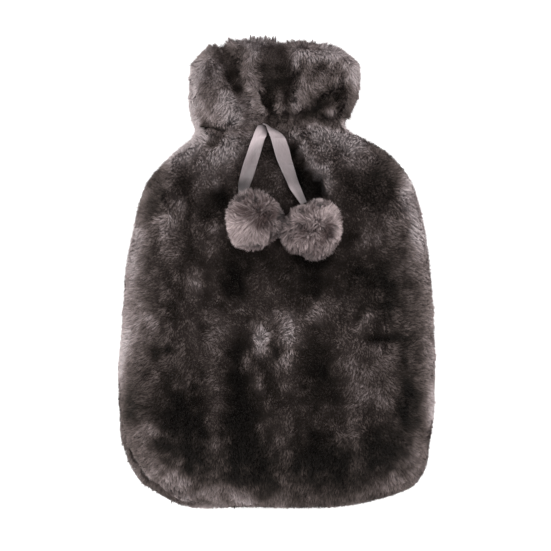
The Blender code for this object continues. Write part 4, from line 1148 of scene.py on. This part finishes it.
def makeRibbon(tail, material):
    rows = np.array(tail["rows"])
    middle = (rows[:, 0:2] + rows[:, 2:4]) / 2
    travel = np.concatenate(([0], np.cumsum(np.hypot(*np.diff(middle, axis=0).T))))
    wanted = np.linspace(0, travel[-1], ribbon["steps"])
    fine = np.stack([readCurve(travel, values, wanted) for values in rows.T], axis=1)
    left, right, shine = fine[:, 0:2], fine[:, 2:4], fine[:, 4:7]
    heights = tailHeights(tail["node"], (left + right) / 2, wanted)
    plan = np.hypot(*(right - left).T)
    drop = np.minimum(np.sqrt(np.maximum(ribbon["width"] ** 2 - plan ** 2, 0)), ribbon["deepest"])
    shares = np.linspace(0, 1, ribbon["columns"] + 1)[None, :, None]
    flat = left[:, None, :] * (1 - shares) + right[:, None, :] * shares
    slant = -shares[..., 0] * drop[:, None]
    crown = ribbon["crown"] * (1 - (2 * shares[..., 0] - 1) ** 2)
    top = np.concatenate((flat, (heights[:, None] + slant + crown)[..., None]), axis=2)
    acrossWay = np.gradient(top, axis=1)
    alongWay = np.gradient(top, axis=0)
    normal = unit(np.cross(acrossWay, alongWay))
    normal *= np.sign(normal[..., 2:])
    layers = np.concatenate((top.reshape(-1, 3), (top - normal * ribbon["thickness"]).reshape(-1, 3)))
    wide = ribbon["columns"] + 1
    under = ribbon["steps"] * wide
    piece = makeMesh(tail["name"], layers, bandFaces(ribbon["steps"], wide), [material])
    cut = np.linalg.norm(np.diff(top[:, wide // 2], axis=0), axis=1)
    distance = np.concatenate(([0], np.cumsum(cut)))
    layer = piece.data.uv_layers.new(name="weave")
    for loop in piece.data.loops:
        index = loop.vertex_index % under
        layer.uv[loop.index].vector = (shares[0, index % wide, 0] * ribbon["width"], distance[index // wide])
    # painted highlight and shade along the satin, for each corner
    tones = np.array([np.interp(shares[0, :, 0], (0, 0.5, 1), row) for row in shine])
    tones = np.tile(tones.ravel(), 2)
    paint = piece.data.color_attributes.new("tone", "FLOAT_COLOR", "POINT")
    paint.data.foreach_set("color", np.repeat(tones, 4).astype(np.float32))
    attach(piece, body)
    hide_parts(tail["node"])
    low, high = heights.min().round(1), heights.max().round(1)
    print("ribbon", tail["name"], "cut to", round(cut.sum(), 1), "mm, height", low, high)
    return piece


makeCamera()
makeFloor()
makeLamps()
print("studio is set")

front = makeSkin("front_panel", 1, "back_panel")
back = makeSkin("back_panel", -1, "front_panel")
markSeam(front, back)
markSeam(back, front)
peltMaterials = [undercoatMaterial(), insideMaterial()]
frontPelt = makePelt("frontPelt", front, "front_panel", frontLight, peltMaterials)
backPelt = makePelt("backPelt", back, "back_panel", backLight, peltMaterials)
print("pelts are cut")

neckLine = 100
waistLine = -55
ledgeShown = -0.2      # a face of the back panel that looks up more than this can show past the front
ledgeDensity = 2.5     # and carries so much more pile


def collarPart(at, normal):
    return at[:, 1] >= neckLine


def lowerPart(at, normal):
    return at[:, 1] < waistLine


def upperPart(at, normal):
    return (at[:, 1] >= waistLine) & (at[:, 1] < neckLine)


def lowerBackPart(at, normal):
    return (at[:, 1] < waistLine) * (1 + ledgeDensity * (normal[:, 2] > ledgeShown))


def upperBackPart(at, normal):
    return at[:, 1] >= waistLine


frontFur = (
    # name, strands, seed, part of the panel, whether they bend, width
    ("frontPileLower", 42000, 61, lowerPart, True, 1.0),
    ("frontPileUpper", 42000, 62, upperPart, True, 1.0),
    ("collarPileFront", 27000, 63, collarPart, True, 1.0),
    ("frontDownLower", 85000, 66, lowerPart, False, 1.0),
    ("frontDownUpper", 85000, 67, upperPart, False, 1.0),
    ("collarDownFront", 52000, 68, collarPart, False, 1.0),
)
backFur = (
    ("backPileLower", 19000, 64, lowerBackPart, True, 1.3),
    ("backPileUpper", 19000, 65, upperBackPart, True, 1.3),
    ("backDownLower", 40000, 69, lowerBackPart, False, 1.4),
    ("backDownUpper", 43000, 70, upperBackPart, False, 1.4),
)
pile = pileMaterial("furPile", 0.62, 0.05)
frontPieces = [growFur(front, frontLight, pile, *row) for row in frontFur]
backPieces = [growFur(back, backLight, pile, *row) for row in backFur]

pompomPile = pileMaterial("pompomPile", 0.6, 0.2)
for details in pompoms:
    growPompom(details, pompomPile, peltMaterials[0])

satin = satinMaterial()
for tail in tails:
    makeRibbon(tail, satin)
